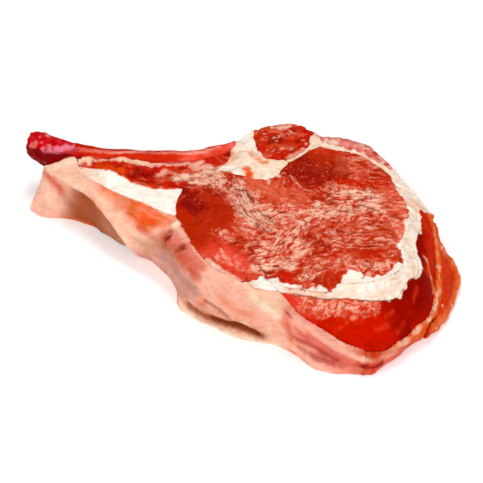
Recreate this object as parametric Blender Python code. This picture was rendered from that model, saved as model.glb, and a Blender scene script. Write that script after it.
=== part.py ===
"""A thick rib steak on the bone, raw and dry aged, lying on one cut face.

The steak is a slab that keeps the same muscles from face to face, so each muscle, fat seam and
skin of fat is a plan outline swept from the flat lower face up to the domed upper face. The
outlines are laid over each other in one plan, and the later one in LAYERS covers the earlier.
Plan outlines and heights are in millimetres, x along the length and y across the steak.
"""
import math

import bmesh
import bpy
import numpy as np
from mathutils import Vector
from mathutils.geometry import delaunay_2d_cdt

MM = 0.001

# driving dimensions, in millimetres
GAP = 0.3               # clearance between two neighbouring pieces
OUTLINE_STEP = 6.0      # length of a facet along an outline
FILL_STEP = 10.0        # spacing of the points inside an outline
FILL_MARGIN = 4.0       # how far the inside points stay from an outline
SHARE_LIMIT = 0.5       # points of two outlines nearer than this are one point
GROOVE = 0.9            # depth of the crease where two pieces meet on the upper face
WALL_REACH = 15.0       # how far in from the outer wall the wall's lean is felt
FLOOR_ROLL = 1.2        # how far the outer wall turns in where it meets the flat lower face
STIFFNESS = 4.0         # how stiffly the upper face spans its heights, so that it stays smooth
LEVELS = (0.0, 0.07, 0.28, 0.55, 0.84, 1.0)    # rows of points up a wall, as parts of its height

BONE_WIDTH = 14.5       # thickness of the rib blade, seen from above
BONE_HEIGHT = 30.0      # width of the rib blade, which stands on edge
BONE_TOP = 46.0         # height of its upper edge
BONE_SIDES = 14         # facets round the blade
BONE_STEP = 6.5         # facets along the blade

# outer wall of the slab: x, y and height of its upper edge, then how far it bulges out, at what
# height, and how far its foot stands out (all minus where it is undercut)
WALL = (
    (-129.5, 54, 37, 1, 26, 14),    # thin end of the tail
    (-119, 46, 36, 0, 26, 6),
    (-106, 37, 34, 0, 26, 0.5),      # long side under the tail fat, undercut
    (-92, 26, 33, 1, 25, -2.5),
    (-78, 14.5, 32, 3, 20, -4.5),
    (-65, 5.5, 32, 5, 14, -6),
    (-53, -3, 33, 8, 12, -7.5),
    (-43, -15, 36, 7, 11, -3),
    (-35.5, -28, 39, 4, 11, 7.5),       # side of the eye, with a lip at the foot
    (-25, -39, 40, 2, 12, 7.5),
    (-12, -48.5, 41, 1, 12, 5),
    (2, -55, 42, 0, 12, 6),
    (20, -60, 40, 1, 12, 5),
    (33, -70, 31, 1, 9, 3),         # side of the drooping cap
    (47, -76, 21.5, 3, 7, 8),
    (62, -81, 15, 2, 5, 5),
    (78, -84.5, 10.5, 0, 4, 1),
    (93, -77.5, 11, -1, 5, -3),
    (107, -66, 12, -1, 5, -3),
    (118, -57.5, 7, 0, 3, -1),      # outer flap
    (128.5, -45, 6.5, 0, 3, -1),
    (135, -30, 7.5, 0, 3, -1),
    (139.5, -14, 8.5, 0.5, 4, -2),
    (136.5, -4, 10.5, 1, 5, -2),
    (129.5, 4, 15, 0, 7, -2),
    (120, 14, 35, 1, 20, -1),       # fat edge of the eye
    (111.5, 25.5, 40, 1, 20, -1),
    (101, 41.5, 42, 1, 20, -1),
    (93, 56.5, 42.5, 1, 20, -1),      # thin muscle behind the eye
    (81, 68.5, 43, 1, 20, -1),
    (66.5, 74.5, 43, 1, 20, -1),
    (53, 76, 44, 1, 20, -1),
    (44, 82.5, 45, 2, 22, -1),        # muscle by the chine
    (33, 88, 45, 2, 22, -1),
    (20, 85.5, 45, 2, 22, -1),
    (9, 80.5, 45, 1, 22, -1),
    (-1, 73, 45, 1, 22, -1),
    (-10, 59.5, 44, 10, 13, 8),     # meat wrapped in front of and under the rib
    (-26, 54, 43, 10, 13, 8),
    (-60, 53, 43, 10, 13, 8),
    (-95, 56, 43, 10, 13, 8),
    (-112, 60, 42, 10, 13, 8),
    (-126, 65, 40, 7, 13, 8),
)

# heights of the upper face inside the wall: x, y, z
CROWN = (
    (35, 0, 46.5), (60, 30, 46.2), (0, 12, 46), (20, -35, 45.5), (75, -25, 45.5), (-28, 5, 45),
    (90, 15, 45.5), (48, 52, 46),                             # eye
    (27, 68, 48.5), (3, 60, 46.5), (-8, 46, 45.5),              # chine
    (-60, 40, 42.5), (-88, 46, 43), (-40, 36, 43.5), (-60, 21, 44), (-85, 36, 44), (-118, 55, 42),
    (101, -32, 44.5), (106, 0, 45.5), (80, -56, 44), (40, -59, 44.5), (60, -58, 44.5),
    (95, -48, 44), (108, 25, 43.5),
    (113, -28, 34), (110, -48, 32), (98, -60, 27), (80, -70, 32), (62, -71, 31), (42, -65, 37),
    (116, -5, 38), (121, -20, 23), (118, -48, 16), (103, -66, 12.5), (85, -81, 11.5),
    (128, -22, 13), (125, -42, 10), (132, -8, 11),              # outer flap
)

# plan outlines, each a smooth closed curve through its points; a part that runs past the outer
# wall or under a later outline is cut there
OUTER_FLAP = ((106, -60), (116, -68), (145, -50), (150, 0), (128, 18), (119, 14), (115, -10))
RIM_FAT = (
    (121, 13), (124, 4), (124.5, -20), (122.5, -36), (119.5, -49), (113, -59), (108, -72),
    (92, -95), (78, -96), (73, -86), (72, -78), (80, -60), (100, -20), (108, 5),
)
CAP_MUSCLE = (
    (23, -57), (28, -63), (36, -67.5), (46, -71), (56, -75), (66, -78.5), (76, -80.5),
    (84, -79), (93, -73), (102.5, -64), (110, -58.5), (115.5, -50.5), (118.5, -36), (120.5, -20),
    (120.5, -3), (118, 9), (112, 12.5), (104, 5), (92, -10), (80, -40), (40, -45),
)
SEAM_FAT = (
    (3, -48.5), (8, -53), (16, -54.6), (24, -56.4), (34, -58.4), (46, -60.3), (63, -60.5), (75, -61.5),
    (86, -59), (92, -56), (99, -46.5), (105, -42), (107, -35), (104, -28), (104, -20), (107, -12),
    (110.5, -6), (111.5, 2), (110.5, 9), (114, 12.5), (124, 15), (125, 35), (100, 70), (70, 90),
    (46, 90), (36, 66), (22, 52), (24, 30), (30, 0), (20, -30),
)
BACK_FLAP = (
    (46, 90), (49, 74), (55, 68), (63, 65.5), (71, 63.2), (80, 59), (88, 52), (97, 45), (115, 55),
    (80, 90),
)
TAIL_MEAT = (
    (-106, 53), (-104, 68), (-60, 70), (-4, 72), (-3, 54), (-14, 40), (-25, 20), (-50, 15),
    (-80, 30), (-98, 44),
)
TAIL_FAT = (
    (-109, 51), (-104, 46), (-94, 38), (-82, 29.5), (-68, 21), (-52, 12), (-38, 6), (-30, 14),
    (-38, 27), (-45, 28), (-58, 30.5), (-70, 35), (-77, 40), (-85, 43.5), (-95, 47.5), (-104, 51),
)
EYE_MUSCLE = (
    (-40.5, 12), (-39, 1), (-36, -8), (-30, -19.5), (-22, -31.5), (-9, -43), (1, -49.5),
    (12, -48), (18, -50), (24, -53.6), (34, -56.2), (46, -58.2), (56, -57), (61, -53.5), (72, -53),
    (85, -48.5), (93, -44), (97, -37), (96, -27), (98.5, -16), (103, -4), (104, 6), (102, 16),
    (98, 26), (96, 40), (87.5, 49.5), (79, 56.5), (70, 60.5), (60, 63.3), (52, 65.5), (45, 61),
    (38, 53.5), (30, 47), (16, 42), (0, 43), (-16, 41), (-28, 36), (-37, 27),
)
CHINE_FAT = (
    (-15, 44), (-9, 49), (-6.5, 56), (-6.5, 64), (-8, 76), (8, 88), (14, 76), (20, 58), (29, 52),
    (30, 45), (23, 36), (16, 31), (10, 32), (4, 35), (-5, 39),
)
CHINE_MUSCLE = (
    (9, 66), (9, 80), (22, 95), (40, 95), (49, 84), (46, 74), (45, 65), (39, 56.5), (30, 50),
    (20, 48), (13, 54),
)
LAYERS = (
    ("outer_flap", OUTER_FLAP), ("rim_fat", RIM_FAT), ("cap_muscle", CAP_MUSCLE),
    ("seam_fat", SEAM_FAT), ("back_flap", BACK_FLAP), ("tail_meat", TAIL_MEAT),
    ("tail_fat", TAIL_FAT), ("eye_muscle", EYE_MUSCLE), ("chine_fat", CHINE_FAT),
    ("chine_muscle", CHINE_MUSCLE),
)
COVER = "side_fat"      # the fat and skin of the long side, left where no outline lies

# centre line of the rib blade in plan, from its free end to its joint with the chine
BONE_LINE = (
    (-140.5, 74.5), (-130, 72.8), (-122, 69.6), (-110, 65), (-95, 61.4), (-75, 59), (-50, 57.7),
    (-28, 58.4), (-14, 63.5), (-3.5, 67.5),
)

# colour, roughness of each piece; none is metal
FINISHES = {
    "rib_bone": ((0.50, 0.03, 0.03), 0.35),
    "chine_fat": ((0.86, 0.74, 0.60), 0.50),
    "chine_muscle": ((0.62, 0.08, 0.05), 0.40),
    "eye_muscle": ((0.60, 0.07, 0.04), 0.40),
    "seam_fat": ((0.88, 0.80, 0.72), 0.55),
    "cap_muscle": ((0.55, 0.02, 0.01), 0.30),
    "rim_fat": ((0.85, 0.40, 0.26), 0.40),
    "outer_flap": ((0.62, 0.08, 0.02), 0.45),
    "back_flap": ((0.45, 0.06, 0.08), 0.40),
    "side_fat": ((0.80, 0.45, 0.35), 0.45),
    "tail_fat": ((0.90, 0.84, 0.76), 0.50),
    "tail_meat": ((0.50, 0.03, 0.01), 0.40),
}


def clear_scene():
    for thing in list(bpy.data.objects):
        bpy.data.objects.remove(thing, do_unlink=True)


def smooth_run(points, step, closed=True):
    """Points about one step apart on the Catmull-Rom curve through the given ones.

    Only x and y set the spacing; any further columns are carried along.
    """
    rows = np.array(points, dtype=float)
    count = len(rows)
    spans = count if closed else count - 1
    run = []
    for index in range(spans):
        if closed:
            before, start, end, after = (rows[(index + shift) % count] for shift in (-1, 0, 1, 2))
        else:
            before, start, end, after = (
                rows[min(max(index + shift, 0), count - 1)] for shift in (-1, 0, 1, 2))
        pieces = max(1, round(float(np.linalg.norm((end - start)[:2])) / step))
        for part in range(pieces):
            u = part / pieces
            run.append(0.5 * (2 * start + (end - before) * u
                              + (2 * before - 5 * start + 4 * end - after) * u * u
                              + (3 * start - before - 3 * end + after) * u ** 3))
    if not closed:
        run.append(rows[-1])
    return np.array(run)


def inside(point, loop):
    """Whether a plan point lies inside a closed loop."""
    x, y = point
    start = loop[:, :2]
    end = np.roll(start, -1, axis=0)
    crosses = (start[:, 1] > y) != (end[:, 1] > y)
    rise = np.where(crosses, end[:, 1] - start[:, 1], 1.0)
    at_x = start[:, 0] + (y - start[:, 1]) * (end[:, 0] - start[:, 0]) / rise
    return bool(np.count_nonzero(crosses & (x < at_x)) % 2)


def nearest_on_loop(point, loop):
    """Distance from a plan point to a closed loop, and the loop's columns at the nearest place."""
    start = loop
    end = np.roll(loop, -1, axis=0)
    side = (end - start)[:, :2]
    along = ((point - start[:, :2]) * side).sum(axis=1) / (side ** 2).sum(axis=1)
    along = np.clip(along, 0.0, 1.0)[:, None]
    places = start + (end - start) * along
    distances = np.linalg.norm(places[:, :2] - point, axis=1)
    best = int(np.argmin(distances))
    return float(distances[best]), places[best]


def outward_directions(loop):
    run = np.roll(loop, -1, axis=0) - np.roll(loop, 1, axis=0)
    outward = np.stack([run[:, 1], -run[:, 0]], axis=1)
    return outward / np.linalg.norm(outward, axis=1, keepdims=True)


def lean(station, height):
    """How far the outer wall stands out from its upper edge at a height."""
    edge_height, bulge, bulge_height, foot = station[2:6]
    if height >= bulge_height:
        part = (edge_height - height) / max(edge_height - bulge_height, 0.1)
        return bulge * eased(part)
    return bulge + (foot - bulge) * eased((bulge_height - height) / max(bulge_height, 0.1))


def eased(part):
    """Rises smoothly from 0 to 1."""
    return 0.5 * (1.0 - math.cos(math.pi * min(max(part, 0.0), 1.0)))


def bend(distance):
    """Kernel of a thin plate, which joins scattered heights smoothly."""
    return np.where(distance > 1e-9, distance ** 2 * np.log(np.maximum(distance, 1e-9)), 0.0)


class Plate:
    """The upper face as a thin plate bent through the wall's edge and the crown's heights."""

    def __init__(self, heights):
        self.places = heights[:, :2]
        count = len(heights)
        gaps = np.linalg.norm(self.places[:, None] - self.places[None], axis=2)
        flat = np.hstack([np.ones((count, 1)), self.places])
        matrix = np.zeros((count + 3, count + 3))
        matrix[:count, :count] = bend(gaps) + np.eye(count) * STIFFNESS
        matrix[:count, count:] = flat
        matrix[count:, :count] = flat.T
        known = np.concatenate([heights[:, 2], np.zeros(3)])
        self.weights = np.linalg.solve(matrix, known)

    def height(self, point):
        gaps = np.linalg.norm(self.places - point, axis=1)
        flat = self.weights[-3] + self.weights[-2] * point[0] + self.weights[-1] * point[1]
        return float(bend(gaps) @ self.weights[:-3] + flat)


class Slab:
    """Carries a plan point and a level to its place in the steak."""

    def __init__(self):
        self.wall = smooth_run(WALL, OUTLINE_STEP)
        self.edge = self.wall[:, :2]
        outward = outward_directions(self.edge)
        self.shifts = {}
        for level in LEVELS:
            leans = np.array([lean(station, station[2] * level) for station in self.wall])
            if level == 0.0:
                leans -= FLOOR_ROLL
            self.shifts[level] = outward * leans[:, None]
        self.plate = Plate(np.vstack([np.array(WALL, dtype=float)[:, :3],
                                      np.array(CROWN, dtype=float)]))

    def place(self, point, level, creased):
        """The wall's shift at this level is felt most near the wall, and blends along it."""
        height = (self.plate.height(point) - (GROOVE if creased else 0.0)) * level
        fade = max(0.0, 1.0 - nearest_on_loop(point, self.edge)[0] / WALL_REACH)
        fade = fade * fade * (3.0 - 2.0 * fade)
        pull = 1.0 / (((self.edge - point) ** 2).sum(axis=1) + 1.0) ** 2
        shift = pull @ self.shifts[level] / pull.sum() * fade
        return Vector((point[0] + shift[0], point[1] + shift[1], height))


def fill_points(slab, loops):
    """A staggered grid of points inside the wall and clear of every outline."""
    low = slab.edge.min(axis=0)
    high = slab.edge.max(axis=0)
    rows = int((high[1] - low[1]) / (FILL_STEP * 0.866)) + 1
    columns = int((high[0] - low[0]) / FILL_STEP) + 1
    points = []
    for row in range(rows):
        for column in range(columns):
            spot = np.array([low[0] + (column + 0.5 * (row % 2)) * FILL_STEP,
                             low[1] + row * FILL_STEP * 0.866])
            if not inside(spot, slab.edge):
                continue
            if min(nearest_on_loop(spot, loop)[0] for loop in loops) > FILL_MARGIN:
                points.append(spot)
    return points


def plan_of_pieces(slab):
    """Triangles of the plan, and the name of the piece that each belongs to."""
    loops = [(name, smooth_run(points, OUTLINE_STEP)) for name, points in LAYERS]
    every_loop = [slab.edge] + [loop for _, loop in loops]
    points = []
    edges = []
    for loop in every_loop:
        first = len(points)
        points.extend(Vector(row[:2]) for row in loop)
        edges.extend((first + i, first + (i + 1) % len(loop)) for i in range(len(loop)))
    points.extend(Vector(spot) for spot in fill_points(slab, every_loop))
    cut = delaunay_2d_cdt(points, edges, [], 0, SHARE_LIMIT, False)
    spots = [np.array(spot) for spot in cut[0]]
    triangles = []
    owners = []
    for corners in cut[2]:
        middle = sum(spots[i] for i in corners) / 3.0
        if not inside(middle, slab.edge):
            continue
        owner = COVER
        for name, loop in loops:
            if inside(middle, loop):
                owner = name
        triangles.append(tuple(corners))
        owners.append(owner)
    return spots, triangles, owners


def area(spots, corners):
    a, b, c = (spots[i] for i in corners)
    return 0.5 * abs((b[0] - a[0]) * (c[1] - a[1]) - (b[1] - a[1]) * (c[0] - a[0]))


def edge_owners(triangles):
    """Each edge of the plan with the triangles on its sides."""
    sides = {}
    for index, corners in enumerate(triangles):
        for i in range(3):
            key = frozenset((corners[i], corners[(i + 1) % 3]))
            sides.setdefault(key, []).append(index)
    return sides


def drop_fragments(spots, triangles, owners):
    """Gives each loose scrap of a piece to the neighbour it shares the longest edge with."""
    sides = edge_owners(triangles)
    for _ in range(6):
        patches = patches_of(triangles, owners, sides)
        largest = {}
        for patch in patches:
            name = owners[patch[0]]
            size = sum(area(spots, triangles[i]) for i in patch)
            if size > largest.get(name, (0.0, None))[0]:
                largest[name] = (size, patch[0])
        changed = False
        for patch in patches:
            name = owners[patch[0]]
            if patch[0] == largest[name][1]:
                continue
            shared = {}
            members = set(patch)
            for key, pair in sides.items():
                if len(pair) == 2 and (pair[0] in members) != (pair[1] in members):
                    other = pair[0] if pair[1] in members else pair[1]
                    start, end = (spots[i] for i in key)
                    length = float(np.linalg.norm(start - end))
                    shared[owners[other]] = shared.get(owners[other], 0.0) + length
            if shared:
                winner = max(sorted(shared), key=shared.get)
                for i in patch:
                    owners[i] = winner
                changed = True
        if not changed:
            return


def patches_of(triangles, owners, sides):
    """Groups of triangles of one piece that join edge to edge."""
    links = [[] for _ in triangles]
    for pair in sides.values():
        if len(pair) == 2 and owners[pair[0]] == owners[pair[1]]:
            links[pair[0]].append(pair[1])
            links[pair[1]].append(pair[0])
    seen = set()
    patches = []
    for first in range(len(triangles)):
        if first in seen:
            continue
        seen.add(first)
        patch = [first]
        for item in patch:
            for other in links[item]:
                if other not in seen:
                    seen.add(other)
                    patch.append(other)
        patches.append(patch)
    return patches


def loops_round(corner_lists):
    """Directed outer edges of a patch of triangles, wound the same way as they are."""
    directed = set()
    for corners in corner_lists:
        for i in range(3):
            directed.add((corners[i], corners[(i + 1) % 3]))
    return [edge for edge in directed if (edge[1], edge[0]) not in directed]


def split_pinches(corner_lists):
    """Gives a point where a patch only touches itself one copy for each side of the touch."""
    fans = {}
    for index, corners in enumerate(corner_lists):
        for point in corners:
            fans.setdefault(point, []).append(index)
    result = [list(corners) for corners in corner_lists]
    copies = {}
    for point in sorted(fans):
        left = set(fans[point])
        part = 0
        while left:
            group = [min(left)]
            left.discard(group[0])
            for item in group:
                mine = set(corner_lists[item]) - {point}
                for other in sorted(left):
                    if mine & (set(corner_lists[other]) - {point}):
                        group.append(other)
                        left.discard(other)
            for item in group:
                result[item][corner_lists[item].index(point)] = (point, part)
            copies[(point, part)] = point
            part += 1
    return [tuple(corners) for corners in result], copies


def counter_clockwise(spots, corners):
    a, b, c = (spots[i] for i in corners)
    turn = (b[0] - a[0]) * (c[1] - a[1]) - (b[1] - a[1]) * (c[0] - a[0])
    return corners if turn > 0 else (corners[0], corners[2], corners[1])


def inset_points(spots, copies, rim):
    """Plan places of a piece's points, with those on its outline moved in by half the gap."""
    places = {key: spots[point].copy() for key, point in copies.items()}
    pulls = {}
    for start, end in sorted(rim):
        run = spots[copies[end]] - spots[copies[start]]
        inward = np.array([-run[1], run[0]]) / max(float(np.linalg.norm(run)), 1e-9)
        pulls.setdefault(start, []).append(inward)
        pulls.setdefault(end, []).append(inward)
    for key, pair in pulls.items():
        middle = sum(pair)
        length = float(np.linalg.norm(middle))
        if length < 1e-6:
            continue
        middle /= length
        spread = max(float(middle @ pair[0]), 0.4)
        places[key] = places[key] + middle * (GAP / 2) / spread
    return places


def sweep_piece(name, slab, spots, corner_lists):
    """One closed solid: the patch's upper and lower faces and the walls round it."""
    wound = [counter_clockwise(spots, corners) for corners in corner_lists]
    wound, copies = split_pinches(wound)
    rim = loops_round(wound)
    rim_keys = {key for edge in rim for key in edge}
    places = inset_points(spots, copies, rim)
    mesh = bmesh.new()
    grid = {}
    for key in sorted(places):
        on_rim = key in rim_keys
        on_wall = nearest_on_loop(spots[copies[key]], slab.edge)[0] < SHARE_LIMIT
        levels = range(len(LEVELS)) if on_rim else (0, len(LEVELS) - 1)
        for row in levels:
            creased = on_rim and not on_wall and row == len(LEVELS) - 1
            spot = slab.place(places[key], LEVELS[row], creased)
            grid[key, row] = mesh.verts.new(spot)
    top = len(LEVELS) - 1
    for a, b, c in wound:
        mesh.faces.new((grid[a, top], grid[b, top], grid[c, top]))
        mesh.faces.new((grid[a, 0], grid[c, 0], grid[b, 0]))
    for start, end in sorted(rim):
        for row in range(top):
            low_start, low_end = grid[start, row], grid[end, row]
            high_start, high_end = grid[start, row + 1], grid[end, row + 1]
            if start < end:     # a neighbour splits the same facet the same way
                mesh.faces.new((low_start, low_end, high_end))
                mesh.faces.new((low_start, high_end, high_start))
            else:
                mesh.faces.new((low_start, low_end, high_start))
                mesh.faces.new((low_end, high_end, high_start))
    return solid_object(name, mesh)


def solid_object(name, mesh):
    """Turns a bmesh in millimetres into a smooth-shaded object in metres."""
    bmesh.ops.triangulate(mesh, faces=mesh.faces[:])
    bmesh.ops.recalc_face_normals(mesh, faces=mesh.faces[:])
    bmesh.ops.scale(mesh, vec=(MM, MM, MM), verts=mesh.verts[:])
    data = bpy.data.meshes.new(name)
    mesh.to_mesh(data)
    mesh.free()
    data.shade_smooth()
    data.set_sharp_from_angle(angle=math.radians(50))
    thing = bpy.data.objects.new(name, data)
    bpy.context.scene.collection.objects.link(thing)
    return thing


def blade_section(part):
    """Half width, half height and middle height of the rib blade at a part of its length."""
    half_width = BONE_WIDTH / 2
    half_height = BONE_HEIGHT / 2
    middle = BONE_TOP - half_height
    if part < 0.16:
        knob = 1.0 - part / 0.16
        half_width += 1.4 * math.sin(math.pi * min(1.0, knob * 1.1))
        half_height -= 6.0 * knob ** 1.5
        middle = BONE_TOP - half_height + 0.6 * math.sin(math.pi * knob)
    if part > 0.9:
        half_width -= 0.8 * (part - 0.9) / 0.1
    return half_width, half_height, middle


def rib_blade(name, grow):
    """The rib as a rounded blade on edge, swept along its line, with domed ends."""
    line = smooth_run(BONE_LINE, BONE_STEP, closed=False)
    run = np.gradient(line, axis=0)
    run /= np.linalg.norm(run, axis=1, keepdims=True)
    lengths = np.concatenate([[0.0], np.cumsum(np.linalg.norm(np.diff(line, axis=0), axis=1))])
    mesh = bmesh.new()
    rings = []
    for index, centre in enumerate(line):
        part = lengths[index] / lengths[-1]
        half_width, half_height, middle = blade_section(part)
        across = np.array([-run[index][1], run[index][0]])
        ring = []
        for side in range(BONE_SIDES):
            angle = 2 * math.pi * side / BONE_SIDES
            wide = math.copysign(abs(math.cos(angle)) ** 0.75, math.cos(angle))
            high = math.copysign(abs(math.sin(angle)) ** 0.85, math.sin(angle))
            spot = centre + across * wide * (half_width + grow)
            ring.append(mesh.verts.new((spot[0], spot[1], middle + high * (half_height + grow))))
        rings.append(ring)
    for first, second in zip(rings, rings[1:]):
        for side in range(BONE_SIDES):
            after = (side + 1) % BONE_SIDES
            mesh.faces.new((first[side], first[after], second[after], second[side]))
    for ring, centre, direction, part in (
            (rings[0], line[0], -run[0], 0.0), (rings[-1], line[-1], run[-1], 1.0)):
        half_width, half_height, middle = blade_section(part)
        tip = centre + direction * (1.6 + grow)
        inner = []
        for vert in ring:
            spot = Vector((centre[0], centre[1], middle)).lerp(vert.co, 0.62)
            spot += Vector((direction[0], direction[1], 0.0)) * (1.2 + grow)
            inner.append(mesh.verts.new(spot))
        crown = mesh.verts.new((tip[0], tip[1], middle))
        for side in range(BONE_SIDES):
            after = (side + 1) % BONE_SIDES
            mesh.faces.new((ring[side], ring[after], inner[after], inner[side]))
            mesh.faces.new((inner[side], inner[after], crown))
    return solid_object(name, mesh)


def cut_for_bone(pieces, cutter):
    """Cuts the bed of the rib into the pieces that it lies against."""
    for thing in pieces:
        cut = thing.modifiers.new("bed of the rib", "BOOLEAN")
        cut.operation = "DIFFERENCE"
        cut.solver = "EXACT"
        cut.object = cutter


def give_finish(thing):
    colour, roughness = FINISHES[thing.name]
    material = bpy.data.materials.new(thing.name)
    material.use_nodes = True
    shader = material.node_tree.nodes["Principled BSDF"]
    shader.inputs["Base Color"].default_value = (*colour, 1.0)
    shader.inputs["Roughness"].default_value = roughness
    shader.inputs["Metallic"].default_value = 0.0
    thing.data.materials.append(material)


def centre_on_base(things):
    """Moves everything so that the origin is under the middle of the whole, on its lower face."""
    bpy.context.view_layer.update()
    corners = np.array([thing.matrix_world @ vert.co for thing in things
                        for vert in thing.data.vertices])
    low = corners.min(axis=0)
    high = corners.max(axis=0)
    shift = Vector((-(low[0] + high[0]) / 2, -(low[1] + high[1]) / 2, -low[2]))
    for thing in things:
        thing.location += shift
    return shift


def build_steak():
    slab = Slab()
    spots, triangles, owners = plan_of_pieces(slab)
    drop_fragments(spots, triangles, owners)
    pieces = []
    for name in [COVER] + [layer for layer, _ in LAYERS]:
        mine = [corners for corners, owner in zip(triangles, owners) if owner == name]
        pieces.append(sweep_piece(name, slab, spots, mine))
    bone = rib_blade("rib_bone", 0.0)
    cutter = rib_blade("rib_bed_cutter", GAP)
    cutter.hide_render = True
    cutter.display_type = "WIRE"
    touching = [piece for piece in pieces
                if piece.name in ("side_fat", "tail_meat", "chine_fat", "tail_fat", "eye_muscle")]
    cut_for_bone(touching, cutter)
    shift = centre_on_base(pieces + [bone])
    cutter.location += shift
    for piece in pieces + [bone]:
        give_finish(piece)


def main():
    clear_scene()
    build_steak()


if __name__ == "__main__":
    main()
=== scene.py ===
"""Looks of a thick raw rib steak on the bone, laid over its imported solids.

Each solid is remeshed fine, smoothed, given its relief and painted layer by layer, and then takes a
finish of its own. Places, sizes and reliefs in the tables are in millimetres in the frame's own axes:
x along the steak, y across it, z up. A place on the upper face is (x, y), and a place on the long
near side is (x, z).
"""
import itertools
import math

import bmesh
import bpy
import numpy as np
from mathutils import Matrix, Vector
from mathutils.bvhtree import BVHTree


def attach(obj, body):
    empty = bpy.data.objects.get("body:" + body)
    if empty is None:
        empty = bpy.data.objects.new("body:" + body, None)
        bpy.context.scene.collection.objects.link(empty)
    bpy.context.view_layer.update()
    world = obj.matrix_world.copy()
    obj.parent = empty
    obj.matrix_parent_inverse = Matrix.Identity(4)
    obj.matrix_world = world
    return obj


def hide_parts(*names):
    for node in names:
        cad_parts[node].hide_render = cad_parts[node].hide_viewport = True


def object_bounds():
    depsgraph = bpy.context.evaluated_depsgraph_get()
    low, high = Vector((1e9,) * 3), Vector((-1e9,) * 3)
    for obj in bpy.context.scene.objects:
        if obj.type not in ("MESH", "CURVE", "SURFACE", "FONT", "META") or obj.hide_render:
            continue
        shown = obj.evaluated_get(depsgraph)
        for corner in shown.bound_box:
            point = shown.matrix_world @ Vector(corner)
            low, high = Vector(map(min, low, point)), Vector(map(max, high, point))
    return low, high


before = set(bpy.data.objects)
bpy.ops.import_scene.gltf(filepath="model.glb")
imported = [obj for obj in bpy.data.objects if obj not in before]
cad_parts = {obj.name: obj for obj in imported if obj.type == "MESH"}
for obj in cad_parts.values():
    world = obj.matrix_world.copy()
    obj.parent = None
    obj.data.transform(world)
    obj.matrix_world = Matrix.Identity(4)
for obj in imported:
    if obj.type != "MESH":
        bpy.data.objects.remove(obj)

bl_info = {
    "name": "Rib steak on the bone",
    "version": (1, 0, 0),
    "blender": (4, 5, 0),
    "location": "3D View > Sidebar > Rib steak",
    "description": "Lays meat, fat and bone looks over the solids of a raw rib steak",
    "category": "Object",
}

CAD_BOX = [list(corner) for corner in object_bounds()]
MM = 0.001
BODY = "root"


def from_screen(red, green, blue):
    """Linear colour of three 0 to 255 screen values."""
    values = np.array((red, green, blue)) / 255
    return tuple(np.where(values <= 0.04045, values / 12.92, ((values + 0.055) / 1.055) ** 2.4))


# ---- settings ---------------------------------------------------------------------------------

def length(name, description, default):
    return bpy.props.FloatProperty(name=name, description=description, default=default * MM,
                                   min=0, precision=5, subtype="DISTANCE", unit="LENGTH")


def colour(name, description, *screen):
    return bpy.props.FloatVectorProperty(name=name, description=description, size=3, min=0, max=1,
                                         subtype="COLOR", default=from_screen(*screen))


class SteakSizes(bpy.types.PropertyGroup):
    grid: length("Grid", "Side of a cell of the mesh, halved where a piece shows", 1.05)
    thin_grid: length("Thin grid", "Side of a cell of the mesh of a thin piece", 0.7)
    closing: length("Closing", "How far each piece grows to meet its neighbours", 0.28)
    swell: length("Swell", "Height of the soft lumps in the cut face of the eye", 1.0)
    crinkle: length("Crinkle", "Height of the flakes in the crinkled patches", 1.1)
    crack: length("Crack", "Depth of the cracks between flakes", 1.1)
    crumb: length("Crumb", "Height of the lobes of the white fat", 1.3)
    shred: length("Shred", "Height of the torn fibres of the tail meat", 1.3)
    bundle: length("Bundle", "Height of the bundles in the chine muscle", 1.0)
    fold: length("Fold", "Depth of the folds in the skin of the long side", 1.6)


class SteakColours(bpy.types.PropertyGroup):
    lean_red: colour("Lean red", "Cut lean meat", 198, 50, 28)
    coral: colour("Coral", "Lean meat that has bloomed in the air", 226, 100, 74)
    flush: colour("Flush", "Thin lean meat with light fat under it", 238, 84, 68)
    bright_red: colour("Bright red", "Wet lean meat", 200, 22, 4)
    deep_red: colour("Deep red", "Lean meat in the shade of a hollow", 142, 9, 2)
    vermilion: colour("Vermilion", "Torn lean meat in the light", 214, 44, 8)
    orange_red: colour("Orange red", "Smooth lean meat, drying", 186, 38, 8)
    crimson: colour("Crimson", "Bloody skin of the bone", 200, 34, 40)
    orange: colour("Orange", "Fat stained by dried juice", 236, 116, 66)
    burnt: colour("Burnt orange", "Fat soaked by juice", 228, 84, 28)
    # Partly the dry tips of the crinkled flakes and partly painted highlight on their crests; also painted
    # highlight spots on the outer flap
    dry_fleck_and_highlight: colour("Fleck", "Dry tips of the crinkled flakes", 252, 194, 168)
    rose: colour("Rose", "Skin over red meat", 238, 136, 124)
    # Painted highlight: used only for the pale streak of light along the top of the bone's knob
    bone_highlight_pink: colour("Pink", "Wet skin at the end of the bone", 238, 132, 150)
    rust: colour("Rust", "Dried skin with meat under it", 214, 104, 80)
    salmon: colour("Salmon", "Skin over fat", 251, 184, 162)
    peach: colour("Peach", "Thin fat", 251, 201, 172)
    cream: colour("Cream", "Soft fat", 253, 224, 196)
    white_fat: colour("White fat", "Firm fat", 254, 243, 230)
    mauve: colour("Mauve", "Skin over dark meat", 202, 140, 128)
    # Dried skin, and also painted shade in the undercut below the ridge and round the crease of the long
    # side
    tan: colour("Tan", "Dried skin", 192, 126, 94)
    # Dried meat, and also painted shade in the undercut and creases of the long side and along its lower
    # edge where it turns under
    dried: colour("Dried", "Dried undercut meat", 166, 80, 48)
    # Painted shade in a dried brown: in the deepest part of the crease, at the foot of the undercut and
    # along the lower edge of the long side
    dried_brown_and_shade: colour("Brown", "Dried edge in a crease", 134, 58, 26)
    magenta: colour("Magenta", "Dark meat seen through the skin", 176, 58, 66)
    # Partly the darker meat at the bottoms of cracks, pits and gaps between flakes, partly painted shade in
    # these hollows
    crack: colour("Crack", "Bottom of a crack in the cut face", 122, 42, 24)
    maroon: colour("Maroon", "Shaded end of the bone", 132, 6, 8)


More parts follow.
